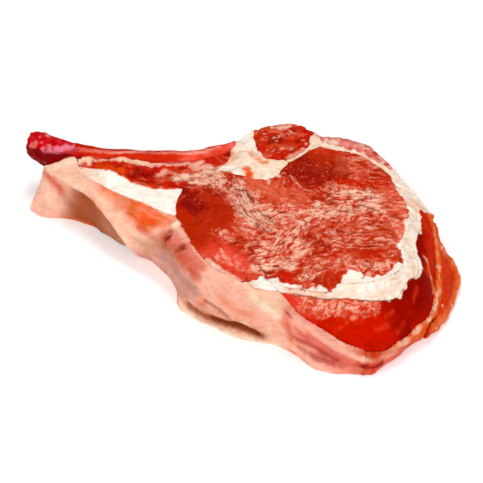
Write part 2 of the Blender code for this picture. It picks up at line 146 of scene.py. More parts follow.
class StageSettings(bpy.types.PropertyGroup):
    floor: colour("Floor", "Paper under the steak", 252, 252, 252)
    floor_glow: bpy.props.FloatProperty(name="Floor glow", description="How much the paper lights itself",
                                        default=0.17, min=0)
    surround: bpy.props.FloatProperty(name="Surround", description="Strength of the light from all round",
                                      default=0.62, min=0)
    rear_share: bpy.props.FloatProperty(name="Rear share", description="How much of it comes from behind",
                                        default=0.3, min=0, max=1)
    key: bpy.props.FloatProperty(name="Key light", description="Power of the light from the near left",
                                 default=4.6, min=0, unit="POWER")
    side: bpy.props.FloatProperty(name="Side light", description="Power of the light from the right",
                                  default=1.2, min=0, unit="POWER")
    gloss: bpy.props.FloatProperty(name="Gloss light", description="Power of the light behind and above",
                                   default=4.0, min=0, unit="POWER")
    elevation: bpy.props.FloatProperty(name="Camera elevation", description="Angle above the horizon",
                                       default=math.radians(48), subtype="ANGLE", unit="ROTATION")
    distance: length("Camera distance", "From the camera to the middle of the steak", 720)


# ---- noise and masks --------------------------------------------------------------------------

NOISE_TABLE = 256
NOISE_GAIN = 1.7        # brings the noise to about -1 to 1


class Grain:
    """Smooth seeded noise of about -1 to 1 with one bump to a unit of length."""

    def __init__(self, seed):
        maker = np.random.default_rng(seed)
        self.order = maker.permutation(NOISE_TABLE)
        slopes = maker.normal(size=(NOISE_TABLE, 3))
        self.slopes = slopes / np.linalg.norm(slopes, axis=1, keepdims=True)
        self.jumps = maker.random((NOISE_TABLE, 3))

    def key(self, cell):
        last = NOISE_TABLE - 1
        key = self.order[cell[:, 2] & last]
        key = self.order[(cell[:, 1] + key) & last]
        return self.order[(cell[:, 0] + key) & last]

    def at(self, places):
        cell = np.floor(places).astype(np.int64)
        part = places - cell
        ease = part ** 3 * (part * (part * 6 - 15) + 10)
        total = np.zeros(len(places))
        for corner in itertools.product((0, 1), repeat=3):
            step = np.array(corner)
            slope = self.slopes[self.key(cell + step)]
            weight = np.prod(np.where(step, ease, 1 - ease), axis=1)
            total += weight * np.einsum("ij,ij->i", slope, part - step)
        return total * NOISE_GAIN

    def cells(self, places):
        """How much farther the second cell seed is than the nearest, and a number for the nearest."""
        cell = np.floor(places).astype(np.int64)
        nearest = np.full(len(places), np.inf)
        second = np.full(len(places), np.inf)
        number = np.zeros(len(places))
        for corner in itertools.product((-1, 0, 1), repeat=3):
            key = self.key(cell + np.array(corner))
            away = np.linalg.norm(cell + np.array(corner) + self.jumps[key] - places, axis=1)
            closer = away < nearest
            second = np.where(closer, nearest, np.minimum(second, away))
            number = np.where(closer, key / NOISE_TABLE, number)
            nearest = np.where(closer, away, nearest)
        return second - nearest, number


def bumps(places, size, seed, layers=1):
    """Noise with bumps of this size, each further layer half the size and half the height."""
    total = np.zeros(len(places))
    for layer in range(layers):
        total += Grain(seed + layer).at(places / size * 2 ** layer) / 2 ** layer
    return total


def combed(places, turn, run, width):
    """Places turned in plan and squeezed, so that noise read there lies in strokes along that turn."""
    angle = math.radians(turn)
    along = places[:, 0] * math.cos(angle) + places[:, 1] * math.sin(angle)
    across = places[:, 1] * math.cos(angle) - places[:, 0] * math.sin(angle)
    return np.stack([along / run, across / width, places[:, 2] / run], axis=1)


def soft_step(low, high, values):
    """0 below low, 1 above high and a smooth run between; it falls instead if low is above high."""
    part = np.clip((values - low) / (high - low), 0, 1)
    return part * part * (3 - 2 * part)


def distance_to(line, spots):
    """Distance from each spot to a line of points, or to its one point."""
    line = np.array(line, float).reshape(-1, spots.shape[1])
    if len(line) == 1:
        return np.linalg.norm(spots - line[0], axis=1)
    best = np.full(len(spots), np.inf)
    for start, end in zip(line[:-1], line[1:]):
        run = end - start
        part = np.clip((spots - start) @ run / (run @ run), 0, 1)
        best = np.minimum(best, np.linalg.norm(spots - start - part[:, None] * run, axis=1))
    return best


# ---- a piece as it is worked on ---------------------------------------------------------------

SMOOTH_ROUNDS = 25
EDGE_ROUNDS = 6
SHARP_LOW, SHARP_HIGH = 0.02, 0.12      # bend of the normals from which an edge is held
FEELER = 1.3                            # a point is hidden with a neighbour this near in front of it
SLANT_FEELER = 5.0                      # and this near on all slants of 45 degrees
SEAM_FILL = 1.7                         # extra growth at a seam, as a share of the closing
ROUNDED = 1.1                           # how round the mesh leaves the edges, squared off again at a seam
SEAM_REACH = 1.6                        # a point this near a neighbour is at a seam


def solids_tree(left_out):
    """All the solids but one in a tree, for finding what lies near a point."""
    spots, faces = [], []
    for name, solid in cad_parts.items():
        if name == left_out:
            continue
        first = len(spots)
        spots += [vertex.co.copy() for vertex in solid.data.vertices]
        faces += [[first + index for index in face.vertices] for face in solid.data.polygons]
    return BVHTree.FromPolygons(spots, faces)


class Skin:
    """The points of one remeshed piece and what is worked out at each of them."""

    def __init__(self, node, grid, halved):
        self.node = node
        self.piece = remeshed(node, grid)
        self.read_mesh()
        sharp = 1 - np.einsum("ij,ij->i", self.facing, self.spread(self.facing, 3))
        edge = soft_step(SHARP_LOW, SHARP_HIGH, sharp)[:, None]
        self.place = self.spread(self.place, SMOOTH_ROUNDS, 1 - edge)
        self.even_edges(edge)
        self.write_places()
        self.read_mesh()
        seen, border = self.feel_neighbours()
        self.note("seen", self.spread(seen[:, None], 2)[:, 0])
        self.note("border", self.spread(border[:, None], 1)[:, 0])
        if halved:
            self.halve_cells()
            self.read_mesh()
            self.place = self.spread(self.place, 1, 0.5)
        self.seen = self.noted("seen")
        self.border = self.noted("border")
        self.tone = np.ones((len(self.place), 3))
        self.wet = np.full(len(self.place), 0.5)
        self.lift = np.zeros(len(self.place))

    def read_mesh(self):
        mesh = self.piece.data
        mesh.update()
        count = len(mesh.vertices)
        edges = np.empty(len(mesh.edges) * 2, np.int32)
        mesh.edges.foreach_get("vertices", edges)
        self.edges = edges.reshape(-1, 2)
        self.neighbours = np.bincount(edges, minlength=count)
        self.place = self.read("co", count) / MM
        self.facing = self.read("normal", count)
        self.up = soft_step(0.1, 0.55, self.facing[:, 2])
        self.under = soft_step(-0.5, -0.8, self.facing[:, 2]) * soft_step(2.0, 0.8, self.place[:, 2])
        self.side = 1 - np.maximum(self.up, self.under)

    def feel_neighbours(self):
        """Whether each point shows, from 0 to 1, and whether it is at a seam with another piece."""
        others = solids_tree(self.node)
        seen = np.ones(len(self.place))
        border = np.zeros(len(self.place))
        for index, (place, facing) in enumerate(zip(self.place, self.facing)):
            normal = Vector(facing)
            spot = Vector(place) * MM
            start = spot + normal * 0.1 * MM
            if others.ray_cast(start, normal, FEELER * MM)[0] is not None:
                across = normal.cross((0, 0, 1) if abs(normal.z) < 0.99 else (1, 0, 0)).normalized()
                rise = across.cross(normal)
                slants = (normal + rise, normal - rise, normal + across, normal - across)
                if all(others.ray_cast(start, slant.normalized(), SLANT_FEELER * MM)[0] is not None
                       for slant in slants):
                    seen[index] = 0
                    continue
            if others.find_nearest(spot, SEAM_REACH * MM)[0] is not None:
                border[index] = 1
        return seen, border

    def note(self, name, values):
        layer = self.piece.data.attributes.new(name, "FLOAT", "POINT")
        layer.data.foreach_set("value", values.astype(np.float32))

    def noted(self, name):
        values = np.zeros(len(self.place))
        self.piece.data.attributes[name].data.foreach_get("value", values)
        return values

    def halve_cells(self):
        """Halves the mesh's cells where the piece shows, leaving out its lower face."""
        mesh = self.piece.data
        shown = (self.noted("seen") > 0.5) & (self.under < 0.5)
        build = bmesh.new()
        build.from_mesh(mesh)
        build.verts.ensure_lookup_table()
        edges = [edge for edge in build.edges if all(shown[vertex.index] for vertex in edge.verts)]
        bmesh.ops.subdivide_edges(build, edges=edges, cuts=1, use_grid_fill=True)
        build.to_mesh(mesh)
        build.free()

    def read(self, what, count):
        values = np.empty(count * 3, np.float32)
        self.piece.data.vertices.foreach_get(what, values)
        return values.reshape(-1, 3).astype(float)

    def spread(self, values, rounds, free=1.0):
        """Values evened out over neighbouring points, where they are free to change."""
        first, second = self.edges.T
        count = len(values)
        for _ in range(rounds):
            total = np.stack([np.bincount(first, column[second], count)
                              + np.bincount(second, column[first], count) for column in values.T], axis=1)
            values = values + (total / self.neighbours[:, None] - values) * free
        return values

    def even_edges(self, edge):
        """Evens the places of edge points along their edge, which takes out the steps of the mesh."""
        for _ in range(EDGE_ROUNDS):
            weight = self.spread(edge, 1)
            along = self.spread(self.place * edge, 1) / np.maximum(weight, 0.05)
            self.place = self.place + (along - self.place) * edge * soft_step(0.05, 0.2, weight) * 0.6

    def write_places(self):
        flat = (self.place * MM).astype(np.float32).ravel()
        self.piece.data.vertices.foreach_set("co", flat)
        self.piece.data.update()

    def stain(self, colours, stains, first_seed, ragged, seen, mask=1.0, blur=0.0):
        """Paints a table of lines, their reaches, colours and strengths."""
        for index, (line, reach, shade, strength) in enumerate(stains):
            patch = self.near(line, reach, ragged, first_seed + index, seen, blur)
            self.paint(getattr(colours, shade), patch * strength * mask)

    def push(self, pushes, first_seed):
        """Pushes the sides out or in along a table of plan lines, their reaches and distances."""
        for index, (line, reach, distance) in enumerate(pushes):
            self.lift += self.near(line, reach, 0.2, first_seed + index) * distance * self.side

    def plan(self):
        return self.place[:, :2]

    def front(self):
        return self.place[:, [0, 2]]

    def near(self, line, reach, ragged=0.0, seed=1, seen="plan", blur=0.0):
        """1 along a line or at a point, falling to 0 at its reach, with an uneven border.

        The line's points are (x, y) in plan, or (x, z) as seen from the front, or (x, y, z). A blur
        makes the border wider on both sides.
        """
        flat = self.front() if seen == "front" else self.plan()
        away = distance_to(line, self.place if len(line[0]) == 3 else flat)
        if ragged:
            away = away + bumps(self.place, max(reach, 4.0) * 0.8, seed, 2) * ragged * reach
        return soft_step(1 + blur, 0.15 - blur, away / reach)

    def coat(self, shade):
        """Paints the whole piece."""
        self.paint(shade, np.ones(len(self.place)))

    def paint(self, shade, mask):
        part = np.clip(mask, 0, 1)[:, None]
        self.tone = self.tone * (1 - part) + np.array(shade)[None, :] * part

    def finish(self, material, closing, lap):
        self.lift = (self.lift + (1 + SEAM_FILL * self.border) * closing / MM) * (1 - self.under) * self.seen
        steep = self.facing[:, 2]
        self.place = self.place + self.facing * self.lift[:, None]
        self.place[:, 2] += ROUNDED * (1 - steep) * soft_step(0.1, 0.45, steep) * self.border * self.seen
        over = lap * soft_step(0.0, 0.3, steep) * soft_step(0.98, 0.8, steep) * self.border * self.seen
        self.place[:, :2] += self.facing[:, :2] * over[:, None]
        self.place[:, 2] = np.maximum(self.place[:, 2], 0.0)
        self.write_places()
        mesh = self.piece.data
        mesh.attributes.remove(mesh.attributes["seen"])
        mesh.attributes.remove(mesh.attributes["border"])
        tone = mesh.attributes.new("tone", "FLOAT_COLOR", "POINT")
        rgba = np.concatenate([np.clip(self.tone, 0, 1), np.ones((len(self.tone), 1))], axis=1)
        tone.data.foreach_set("color", rgba.astype(np.float32).ravel())
        self.note("wet", np.clip(self.wet, 0, 1))
        mesh.polygons.foreach_set("use_smooth", np.ones(len(mesh.polygons), bool))
        mesh.update()
        mesh.materials.clear()
        mesh.materials.append(material)
        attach(self.piece, BODY)
        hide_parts(self.node)


def remeshed(node, grid):
    """A fine even mesh over a solid, as a new object."""
    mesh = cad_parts[node].data.copy()
    build = bmesh.new()
    build.from_mesh(mesh)
    bmesh.ops.remove_doubles(build, verts=build.verts, dist=0.01 * MM)
    build.to_mesh(mesh)
    build.free()
    piece = bpy.data.objects.new(node + "_flesh", mesh)
    bpy.context.scene.collection.objects.link(piece)
    modifier = piece.modifiers.new("grid", "REMESH")
    modifier.mode = "VOXEL"
    modifier.voxel_size = grid
    ready = piece.evaluated_get(bpy.context.evaluated_depsgraph_get())
    fine = bpy.data.meshes.new_from_object(ready)
    piece.modifiers.clear()
    piece.data = fine
    bpy.data.meshes.remove(mesh)
    if not fine.polygons:
        raise RuntimeError(f"the solid {node} gave no mesh")
    return piece


# ---- finishes ---------------------------------------------------------------------------------

def finish_material(name, mottle, fibre, dry, wet, grain, fibre_height, soft=0.0, specular=0.05):
    """A moist finish: the painted tone with mottling and fibres over it, and a gloss that follows wet.

    mottle and fibre are sizes in millimetres, dry and wet the roughness at either end, grain and
    fibre_height the depths of the two reliefs in millimetres, soft how much light goes through, and
    specular how bright the gloss is.
    """
    material = bpy.data.materials.new(name)
    material.use_nodes = True
    nodes = material.node_tree.nodes
    links = material.node_tree.links
    shader = nodes["Principled BSDF"]

    def make(kind, **values):
        node = nodes.new(kind)
        for key, value in values.items():
            setattr(node, key, value)
        return node

    def noise(size, detail, rough, vector):
        node = make("ShaderNodeTexNoise")
        node.inputs["Scale"].default_value = 1 / (size * MM)
        node.inputs["Detail"].default_value = detail
        node.inputs["Roughness"].default_value = rough
        links.new(vector, node.inputs["Vector"])
        return node

    def spread(value, low, high):
        node = make("ShaderNodeMapRange")
        node.inputs["From Min"].default_value = 0.3
        node.inputs["From Max"].default_value = 0.7
        node.inputs["To Min"].default_value = low
        node.inputs["To Max"].default_value = high
        links.new(value, node.inputs["Value"])
        return node.outputs["Result"]

    where = make("ShaderNodeTexCoord").outputs["Object"]
    stretch = make("ShaderNodeMapping")
    stretch.inputs["Scale"].default_value = (0.35, 1.0, 1.0)
    stretch.inputs["Rotation"].default_value = (0, 0, math.radians(25))
    links.new(where, stretch.inputs["Vector"])
    broad = noise(mottle, 3, 0.6, where)
    fine = noise(fibre, 2, 0.55, stretch.outputs["Vector"])

    tone = make("ShaderNodeAttribute", attribute_name="tone")
    gloss = make("ShaderNodeAttribute", attribute_name="wet")
    shade = make("ShaderNodeHueSaturation")
    links.new(tone.outputs["Color"], shade.inputs["Color"])
    value = make("ShaderNodeMath", operation="MULTIPLY")
    links.new(spread(broad.outputs["Fac"], 0.86, 1.1), value.inputs[0])
    links.new(spread(fine.outputs["Fac"], 0.9, 1.08), value.inputs[1])
    links.new(value.outputs["Value"], shade.inputs["Value"])
    links.new(spread(broad.outputs["Fac"], 1.06, 1.0), shade.inputs["Saturation"])
    links.new(shade.outputs["Color"], shader.inputs["Base Color"])

    rough = make("ShaderNodeMapRange")
    rough.inputs["To Min"].default_value = dry
    rough.inputs["To Max"].default_value = wet
    links.new(gloss.outputs["Fac"], rough.inputs["Value"])
    uneven = make("ShaderNodeMath", operation="MULTIPLY")
    links.new(rough.outputs["Result"], uneven.inputs[0])
    links.new(spread(fine.outputs["Fac"], 0.8, 1.25), uneven.inputs[1])
    links.new(uneven.outputs["Value"], shader.inputs["Roughness"])

    height = make("ShaderNodeMath", operation="MULTIPLY_ADD")
    links.new(noise(mottle / 3, 3, 0.6, where).outputs["Fac"], height.inputs[0])
    height.inputs[1].default_value = grain * MM
    lower = make("ShaderNodeMath", operation="MULTIPLY")
    links.new(fine.outputs["Fac"], lower.inputs[0])
    lower.inputs[1].default_value = fibre_height * MM
    links.new(lower.outputs["Value"], height.inputs[2])
    bump = make("ShaderNodeBump")
    bump.inputs["Distance"].default_value = 1.0
    bump.inputs["Strength"].default_value = 1.0
    links.new(height.outputs["Value"], bump.inputs["Height"])
    links.new(bump.outputs["Normal"], shader.inputs["Normal"])

    shader.inputs["Specular IOR Level"].default_value = specular
    shader.inputs["Subsurface Weight"].default_value = soft
    shader.inputs["Subsurface Radius"].default_value = (1.0, 0.35, 0.2)
    shader.inputs["Subsurface Scale"].default_value = 2.5 * MM
    return material


# ---- eye muscle -------------------------------------------------------------------------------

# line of a crinkled patch, its reach, the turn of its strokes in degrees, how pale it is
EYE_PATCHES = (
    (((-15, 35), (-7, 26), (3, 14)), 13, -50, 1.0),
    (((0, 14), (6, 4), (14, -4)), 13, -45, 1.0),
    (((14, 3), (22, -2), (32, 3), (42, -1)), 10, 25, 0.8),
    (((-30, 29), (-16, 30)), 7, -5, 1.0),
    (((-17, -12), (-9, -17), (-6, -21)), 6, -35, 0.8),
    (((3, -8), (8, -18), (12, -28)), 8, -60, 0.7),
    (((36, -8), (28, -20), (18, -28)), 14, 48, 0.85),
    (((40, -26), (32, -38)), 10, 55, 0.85),
    (((8, -38), (18, -42), (28, -40)), 9, -20, 1.0),
    (((46, -44), (38, -52)), 8, 25, 0.8),
    (((52, -36), (58, -44), (66, -40)), 8, 35, 0.6),
    (((72, 49), (80, 52), (88, 46)), 6, 20, 0.7),
    (((74, 40), (88, 37)), 5, 0, 0.6),
    (((60, 19), (76, 19), (88, 16)), 9, -25, 1.0),
    (((48, 1), (60, 5), (72, 9), (84, 6)), 9, 25, 1.0),
    (((62, -20), (76, -20), (88, -22)), 8, 0, 0.7),
    (((62, 36), (74, 34)), 7, 30, 0.5),
    (((62, -42), (76, -46), (86, -42)), 7, 20, 0.8),
    (((88, 2), (94, -16), (92, -32)), 12, -10, 0.5),
    (((46, -8), (60, -10), (74, -12)), 10, 20, 0.55),
    (((20, 20), (34, 14)), 12, -30, 0.45),
)
# whitish places in the patches, each a line, where the flake tips get a painted highlight
EYE_BRIGHT = (((-15, 29), (-15, 18)), ((2, 22), (5, 12)), ((15, -32), (18, -39)), ((30, -42), (35, -40)),
              ((70, 20), (80, 20), (84, 16)), ((-28, 31), (-20, 32)))
OPEN_FACE = (((30, -20), (60, -5), (85, 5)), 60, 0.6)   # line, reach and paleness of the rest
# line of a stain, its reach, its colour, how strong it is; where it is smooth there are no strokes
EYE_STAINS = (
    (((-34, 6), (-28, -6), (-21, -18)), 13, "orange_red", 1.0),
    (((-14, 14), (-9, 2), (-15, -6)), 13, "orange_red", 1.0),
    (((-34, 24), (-31, 14), (-25, 6)), 9, "deep_red", 1.0),
    (((-20, 21), (-10, 18)), 6, "deep_red", 0.6),
    (((-7, 26), (-6, 38)), 3.5, "orange_red", 0.9),
    (((-16, -25), (-8, -32), (0, -39)), 10, "flush", 0.95),
    (((12, 24), (22, 18), (36, 13)), 11, "coral", 0.9),
    (((27, 10), (32, 6)), 6, "coral", 0.7),
    (((34, 50), (46, 38), (62, 42)), 17, "deep_red", 0.8),
    (((64, 49), (74, 45), (66, 41)), 7, "coral", 0.5),
    (((34, 33), (56, 27)), 10, "deep_red", 0.6),
    (((56, 24), (60, 12), (50, 14)), 6, "deep_red", 0.4),
    (((66, 28), (84, 28), (96, 26)), 7, "bright_red", 0.6),
    (((44, -20), (50, -26)), 6, "deep_red", 0.6),
    (((88, -12), (92, -18)), 6, "deep_red", 0.4),
    (((12, -18), (7, -30), (10, -38)), 4, "deep_red", 0.6),
    (((26, -46), (30, -54), (22, -52)), 5, "bright_red", 0.9),
    (((54, -30), (55, -38)), 5, "bright_red", 0.4),
    (((60, -31), (86, -33)), 4, "bright_red", 0.5),
)
SMOOTH_STAINS = ("orange_red", "flush")
# open cracks, each a line
EYE_CRACKS = (
    ((-4, 22), (3, 21), (7, 17), (9, 9), (9, 2)),
    ((1, 8), (5, 1), (12, -4), (20, -5)),
    ((11, 5), (15, 0), (19, -2), (23, 3), (29, 3)),
    ((63, 3), (70, 5), (76, 10), (82, 7), (87, 3)),
    ((66, 14), (74, 14), (84, 16)),
    ((60, -13), (72, -14), (80, -13)),
    ((17, -29), (25, -25), (36, -18)),
    ((12, -43), (18, -46), (26, -45)),
    ((-30, 27), (-20, 26), (-14, 30)),
)
# threads of fat that run into the face, each a line
EYE_THREADS = (
    ((14, 32), (12, 25)),
    ((18, 33), (19, 27), (18, 22)),
    ((22, 35), (27, 31), (29, 26)),
    ((24, 38), (31, 33), (36, 27), (41, 22), (48, 19)),
)
# glints in the smooth part of the face, each a line
EYE_GLINTS = (((-11, -28), (-9, -32), (-5, -38), (2, -43)), ((-13, -32), (-10, -36)), ((-2, -35), (1, -38)),
              ((-37, -3), (-35, -8)), ((-33, -13), (-31, -16)))
FAT_EDGE = ((18, -51), (34, -57.5), (46, -59.5), (57, -58), (62, -54.5), (73, -54), (86, -49.5), (94, -45),
            (98, -38), (97, -28), (100, -17), (105, -5))
FAT_LUMP = ((63, -53), (66, -50), (70, -51))    # where the fat reaches up into the face
EYE_LIP = ((-19, -33), (-10, -42), (1, -50.5))  # skin lapped over the edge of the face
EYE_CREST = ((-36, 26), (-29, 36), (-20, 41))   # pale edge next to the tail meat
STROKE_TURNS = (-50, 0, 50)                     # ways the strokes can run, in degrees
TURN_SPREAD = 50                                # a way has no weight this far off a stroke's turn


def warped(places, size, reach, seed):
    """Places pushed about, so that what is drawn at them is bent."""
    return places + reach * np.stack([bumps(places, size, seed + k) for k in range(3)], axis=1)


def stroke_noise(places, weights, run, width, seed):
    """Noise in strokes, in three directions that change over with the weights."""
    total = np.zeros(len(places))
    for index, (turn, weight) in enumerate(zip(STROKE_TURNS, weights)):
        total += weight * Grain(seed + index).at(combed(places, turn, run, width))
    return total


def thin_line(field, level, width):
    """1 where a field passes a level, falling to 0 at a width."""
    return soft_step(width, width * 0.3, np.abs(field - level))


def flakes(skin, mask, turn, sizes, pale, shade, gap_shade, seed, run=3.8, width=2.0):
    """Raises flakes with cracks between them where the mask is, paints their tips pale, partly as dry tips
    and partly as painted highlight, and paints the gaps dark as painted shade.
    """
    wanted = np.nonzero(mask > 0.02)[0]
    places = warped(skin.place[wanted], 6, 2.2, seed)
    lanes = combed(places, turn, run, width)
    gap, number = Grain(seed + 7).cells(lanes)
    strokes = Grain(seed + 8).at(lanes * 1.7)
    part = mask[wanted]
    dome = soft_step(0.0, 0.35, gap)
    lifted = dome * (0.35 + 0.65 * number) + 0.35 * strokes
    skin.lift[wanted] += part * (lifted * sizes.crinkle - (1 - dome) * sizes.crack * 0.5) / MM
    tips = np.zeros(len(mask))
    tips[wanted] = part * dome * soft_step(0.1, 0.6, number + 0.45 * strokes)
    gaps = np.zeros(len(mask))
    gaps[wanted] = part * soft_step(0.2, 0.02, gap) * soft_step(-0.6, 0.3, strokes)
    skin.paint(shade, tips * pale)
    skin.paint(gap_shade, gaps * 0.8)
    skin.wet += tips * 0.3


def shape_eye(skin, sizes, colours):
    place = skin.place
    skin.coat(colours.lean_red)
    blotch = bumps(place, 15, 12, 3)
    skin.paint(colours.deep_red, soft_step(0.0, 1.0, -blotch) * 0.5)
    skin.paint(colours.coral, soft_step(0.0, 1.0, blotch) * 0.6)
    skin.paint(colours.coral, skin.near(((96, 20), (99, 2), (95, -20)), 16, 0.3, 16) * 0.9)
    skin.paint(colours.flush, skin.near(((96, 16), (100, 0)), 8, 0.3, 17) * 0.5)
    smooth = np.zeros(len(place))
    dark = np.zeros(len(place))
    for index, (line, reach, shade, strength) in enumerate(EYE_STAINS):
        mask = skin.near(line, reach, 0.35, 20 + index)
        skin.paint(getattr(colours, shade), mask * strength)
        if shade in SMOOTH_STAINS:
            smooth = np.maximum(smooth, mask)
        elif shade != "coral":
            dark = np.maximum(dark, mask * strength)

    masks = [skin.near(line, reach * 1.5, 0.35, 50 + index)
             for index, (line, reach, turn, pale) in enumerate(EYE_PATCHES)]
    turn = sum(mask * patch[2] for mask, patch in zip(masks, EYE_PATCHES)) / (sum(masks) + 0.15)
    line, reach, least = OPEN_FACE
    pale = np.max([mask * patch[3] for mask, patch in zip(masks, EYE_PATCHES)], axis=0)
    pale = np.maximum(pale, skin.near(line, reach) * least) * (1 - 0.6 * dark) * (1 - smooth) * skin.up
    weights = [np.clip(1 - np.abs(turn - way) / TURN_SPREAD, 0, 1) for way in STROKE_TURNS]
    bent = warped(place, 7, 2.0, 300)
    broad = stroke_noise(bent, weights, 5.0, 2.0, 310)
    fine = stroke_noise(bent, weights, 2.3, 1.0, 320)
    finest = Grain(330).at(bent / 0.9)
    height = 0.65 * broad + 0.5 * fine + 0.25 * finest
    dapple = 0.7 * Grain(332).at(bent / 2.2) + 0.5 * Grain(333).at(bent / 1.1)
    height += (dapple - height) * soft_step(0.4, 0.1, pale) * 0.75
    skin.lift += bumps(place, 24, 14, 3) * sizes.swell / MM * skin.up
    skin.lift += height * (0.25 + 0.75 * np.minimum(pale * 1.6, 1)) * sizes.crinkle / MM * 0.75 * skin.up

    # Paint that follows the crinkle height: painted shade in deep red in the hollows, and the crests paler
    # in coral and the pale fleck colour, partly dry tips and partly painted highlight
    low = 0.5 - 0.87 * pale
    tips = soft_step(low, low + 0.6, height + 0.2 * Grain(331).at(bent / 0.6)) * soft_step(0.02, 0.2, pale)
    skin.paint(colours.deep_red, soft_step(-0.15, -0.75, height) * np.clip(pale * 1.3, 0.35, 0.75))
    skin.paint(colours.coral, soft_step(0.0, 0.6, height) * 0.7 * (1 - pale) * (1 - smooth) * skin.up)
    skin.paint(colours.coral, soft_step(low - 0.35, low + 0.1, height) * np.clip(pale * 2, 0, 1) * 0.75)
    skin.paint(colours.dry_fleck_and_highlight, tips * (0.35 + 0.65 * pale))
    # Painted highlight: the flake tips are painted paler still at the whitish places and in scattered spots
    bright = np.max([skin.near(line, 5, 0.4, 350 + index) for index, line in enumerate(EYE_BRIGHT)], axis=0)
    bright = np.maximum(bright * skin.up, soft_step(0.2, 0.9, bumps(place, 6, 349)) * 0.5)
    skin.paint(colours.cream, tips * bright * 0.6)
    # Thin cracks among the flakes, sunk and painted in the crack colour, partly darker meat and partly
    # painted shade
    cracks = thin_line(stroke_noise(bent, weights, 6.0, 2.8, 340), 0.12, 0.11)
    cracks *= soft_step(0.3, 0.7, pale) * soft_step(-0.2, 0.3, bumps(place, 5, 345))
    skin.paint(colours.crack, cracks * 0.7)
    skin.lift -= cracks * sizes.crack / MM * 0.5
    skin.wet += tips * 0.3

    for index, (line, reach, turn, pale_patch) in enumerate(EYE_PATCHES[:2]):
        mask = skin.near(line, reach * 0.8, 0.6, 150 + index) * skin.up * 0.6
        flakes(skin, mask, turn, sizes, pale_patch, colours.dry_fleck_and_highlight, colours.crack, 180 + 10 * index)
    # Each open crack is sunk and its bottom painted in the crack colour, partly the darker meat there and
    # partly painted shade
    for index, line in enumerate(EYE_CRACKS):
        wander = np.stack([bumps(place, 5, 360 + index), bumps(place, 5, 380 + index)], axis=1)
        away = distance_to(line, skin.plan() + wander * 1.5)
        crack = soft_step(0.95, 0.3, away) * soft_step(-0.6, 0.2, bumps(place, 6, 395 + index)) * skin.up
        skin.lift -= crack * sizes.crack / MM
        skin.paint(colours.crack, crack * 0.9)
    for index, line in enumerate(EYE_THREADS):
        bend = np.stack([bumps(place, 5, 361 + index), bumps(place, 5, 381 + index)], axis=1)
        away = distance_to(line, skin.plan() + bend)
        thin = 1.7 - 0.9 * soft_step(2, 14, distance_to(line[:1], skin.plan()))
        thread = soft_step(thin, thin * 0.2, away) * skin.up
        thread *= soft_step(-0.7, 0.1, bumps(place, 4, 701 + index))
        skin.paint(colours.salmon, thread * 0.6)
        skin.paint(colours.cream, thread * soft_step(9, 2, distance_to(line[:1], skin.plan())) * 0.6)
    ragged = distance_to(FAT_EDGE, skin.plan()) + 2.4 * bumps(place, 8, 710) + 1.6 * bumps(place, 3.5, 711)
    ragged = np.minimum(ragged, distance_to(FAT_LUMP, skin.plan()) - 1.0 + 1.2 * bumps(place, 3, 714))
    crumbs = soft_step(2.1, 1.3, ragged) * skin.up
    skin.paint(colours.white_fat, crumbs * 0.95)
    skin.paint(colours.cream, crumbs * soft_step(-0.2, 0.7, bumps(place, 9, 510, 2)) * 0.6)
    skin.lift += crumbs * 0.6
    for index, line in enumerate(EYE_GLINTS):
        bend = np.stack([bumps(place, 5, 741 + index), bumps(place, 5, 751 + index)], axis=1)
        glint = soft_step(2.6, 0.0, distance_to(line, skin.plan() + 1.4 * bend)) * skin.up
        glint *= soft_step(-0.5, 0.6, Grain(761 + index).at(combed(place, -45, 4, 1.2)))
        skin.paint(colours.peach, glint * 0.7)
        skin.lift += glint * 0.4
    edge = skin.near(EYE_LIP, 2.0, 0.25, 712) * skin.up
    skin.paint(colours.salmon, edge * 0.95)
    skin.paint(colours.cream, edge * soft_step(-0.2, 0.5, bumps(place, 8, 715)) * 0.6)
    skin.lift += edge * 0.5
    skin.paint(colours.peach, skin.near(EYE_CREST, 1.3, 0.5, 713) * skin.up * 0.7)
    skin.wet = np.clip(skin.wet + smooth * 0.2, 0, 1)


# ---- cap muscle, its rim and the outer flap ---------------------------------------------------

SEAM_FOOT = ((27, -58), (48, -61.5), (65, -62), (77, -63), (88, -60), (94, -57), (101, -47), (107, -43),
             (109, -36), (106, -28), (106, -21), (109, -13), (112, -7))
RIM_CREST = ((122, 8), (123.5, -4), (124, -20), (122, -36), (119, -49), (112, -60), (102, -70), (92, -78),
             (80, -82), (76, -83))
# plan line near the foot of the outer edge, its reach, how far it goes out or in
OUTER_PUSHES = ((((104, -72), (112, -66), (119, -59)), 9, -1.6), (((66, -86), (78, -87)), 8, 0.6))
FLAP_EDGE = ((128, -2), (137, -10), (140, -20), (136, -34), (130, -46), (119, -59))
CAP_HOLLOW = ((88, -54), (104, -50), (110, -34), (110, -16))    # dark middle of the sloping part
RIM_FORK = ((112.6, -26), (114.5, -29), (116.5, -34), (119, -42))     # thread of fat that leaves the rim
# glints on the cap, each a line
CAP_GLINTS = (((56, -75), (63, -73)), ((80, -74), (87, -71)), ((93, -71), (98, -66)), ((86, -67), (90, -64)),
              ((68, -72), (73, -71)), ((103, -55), (106, -50)))


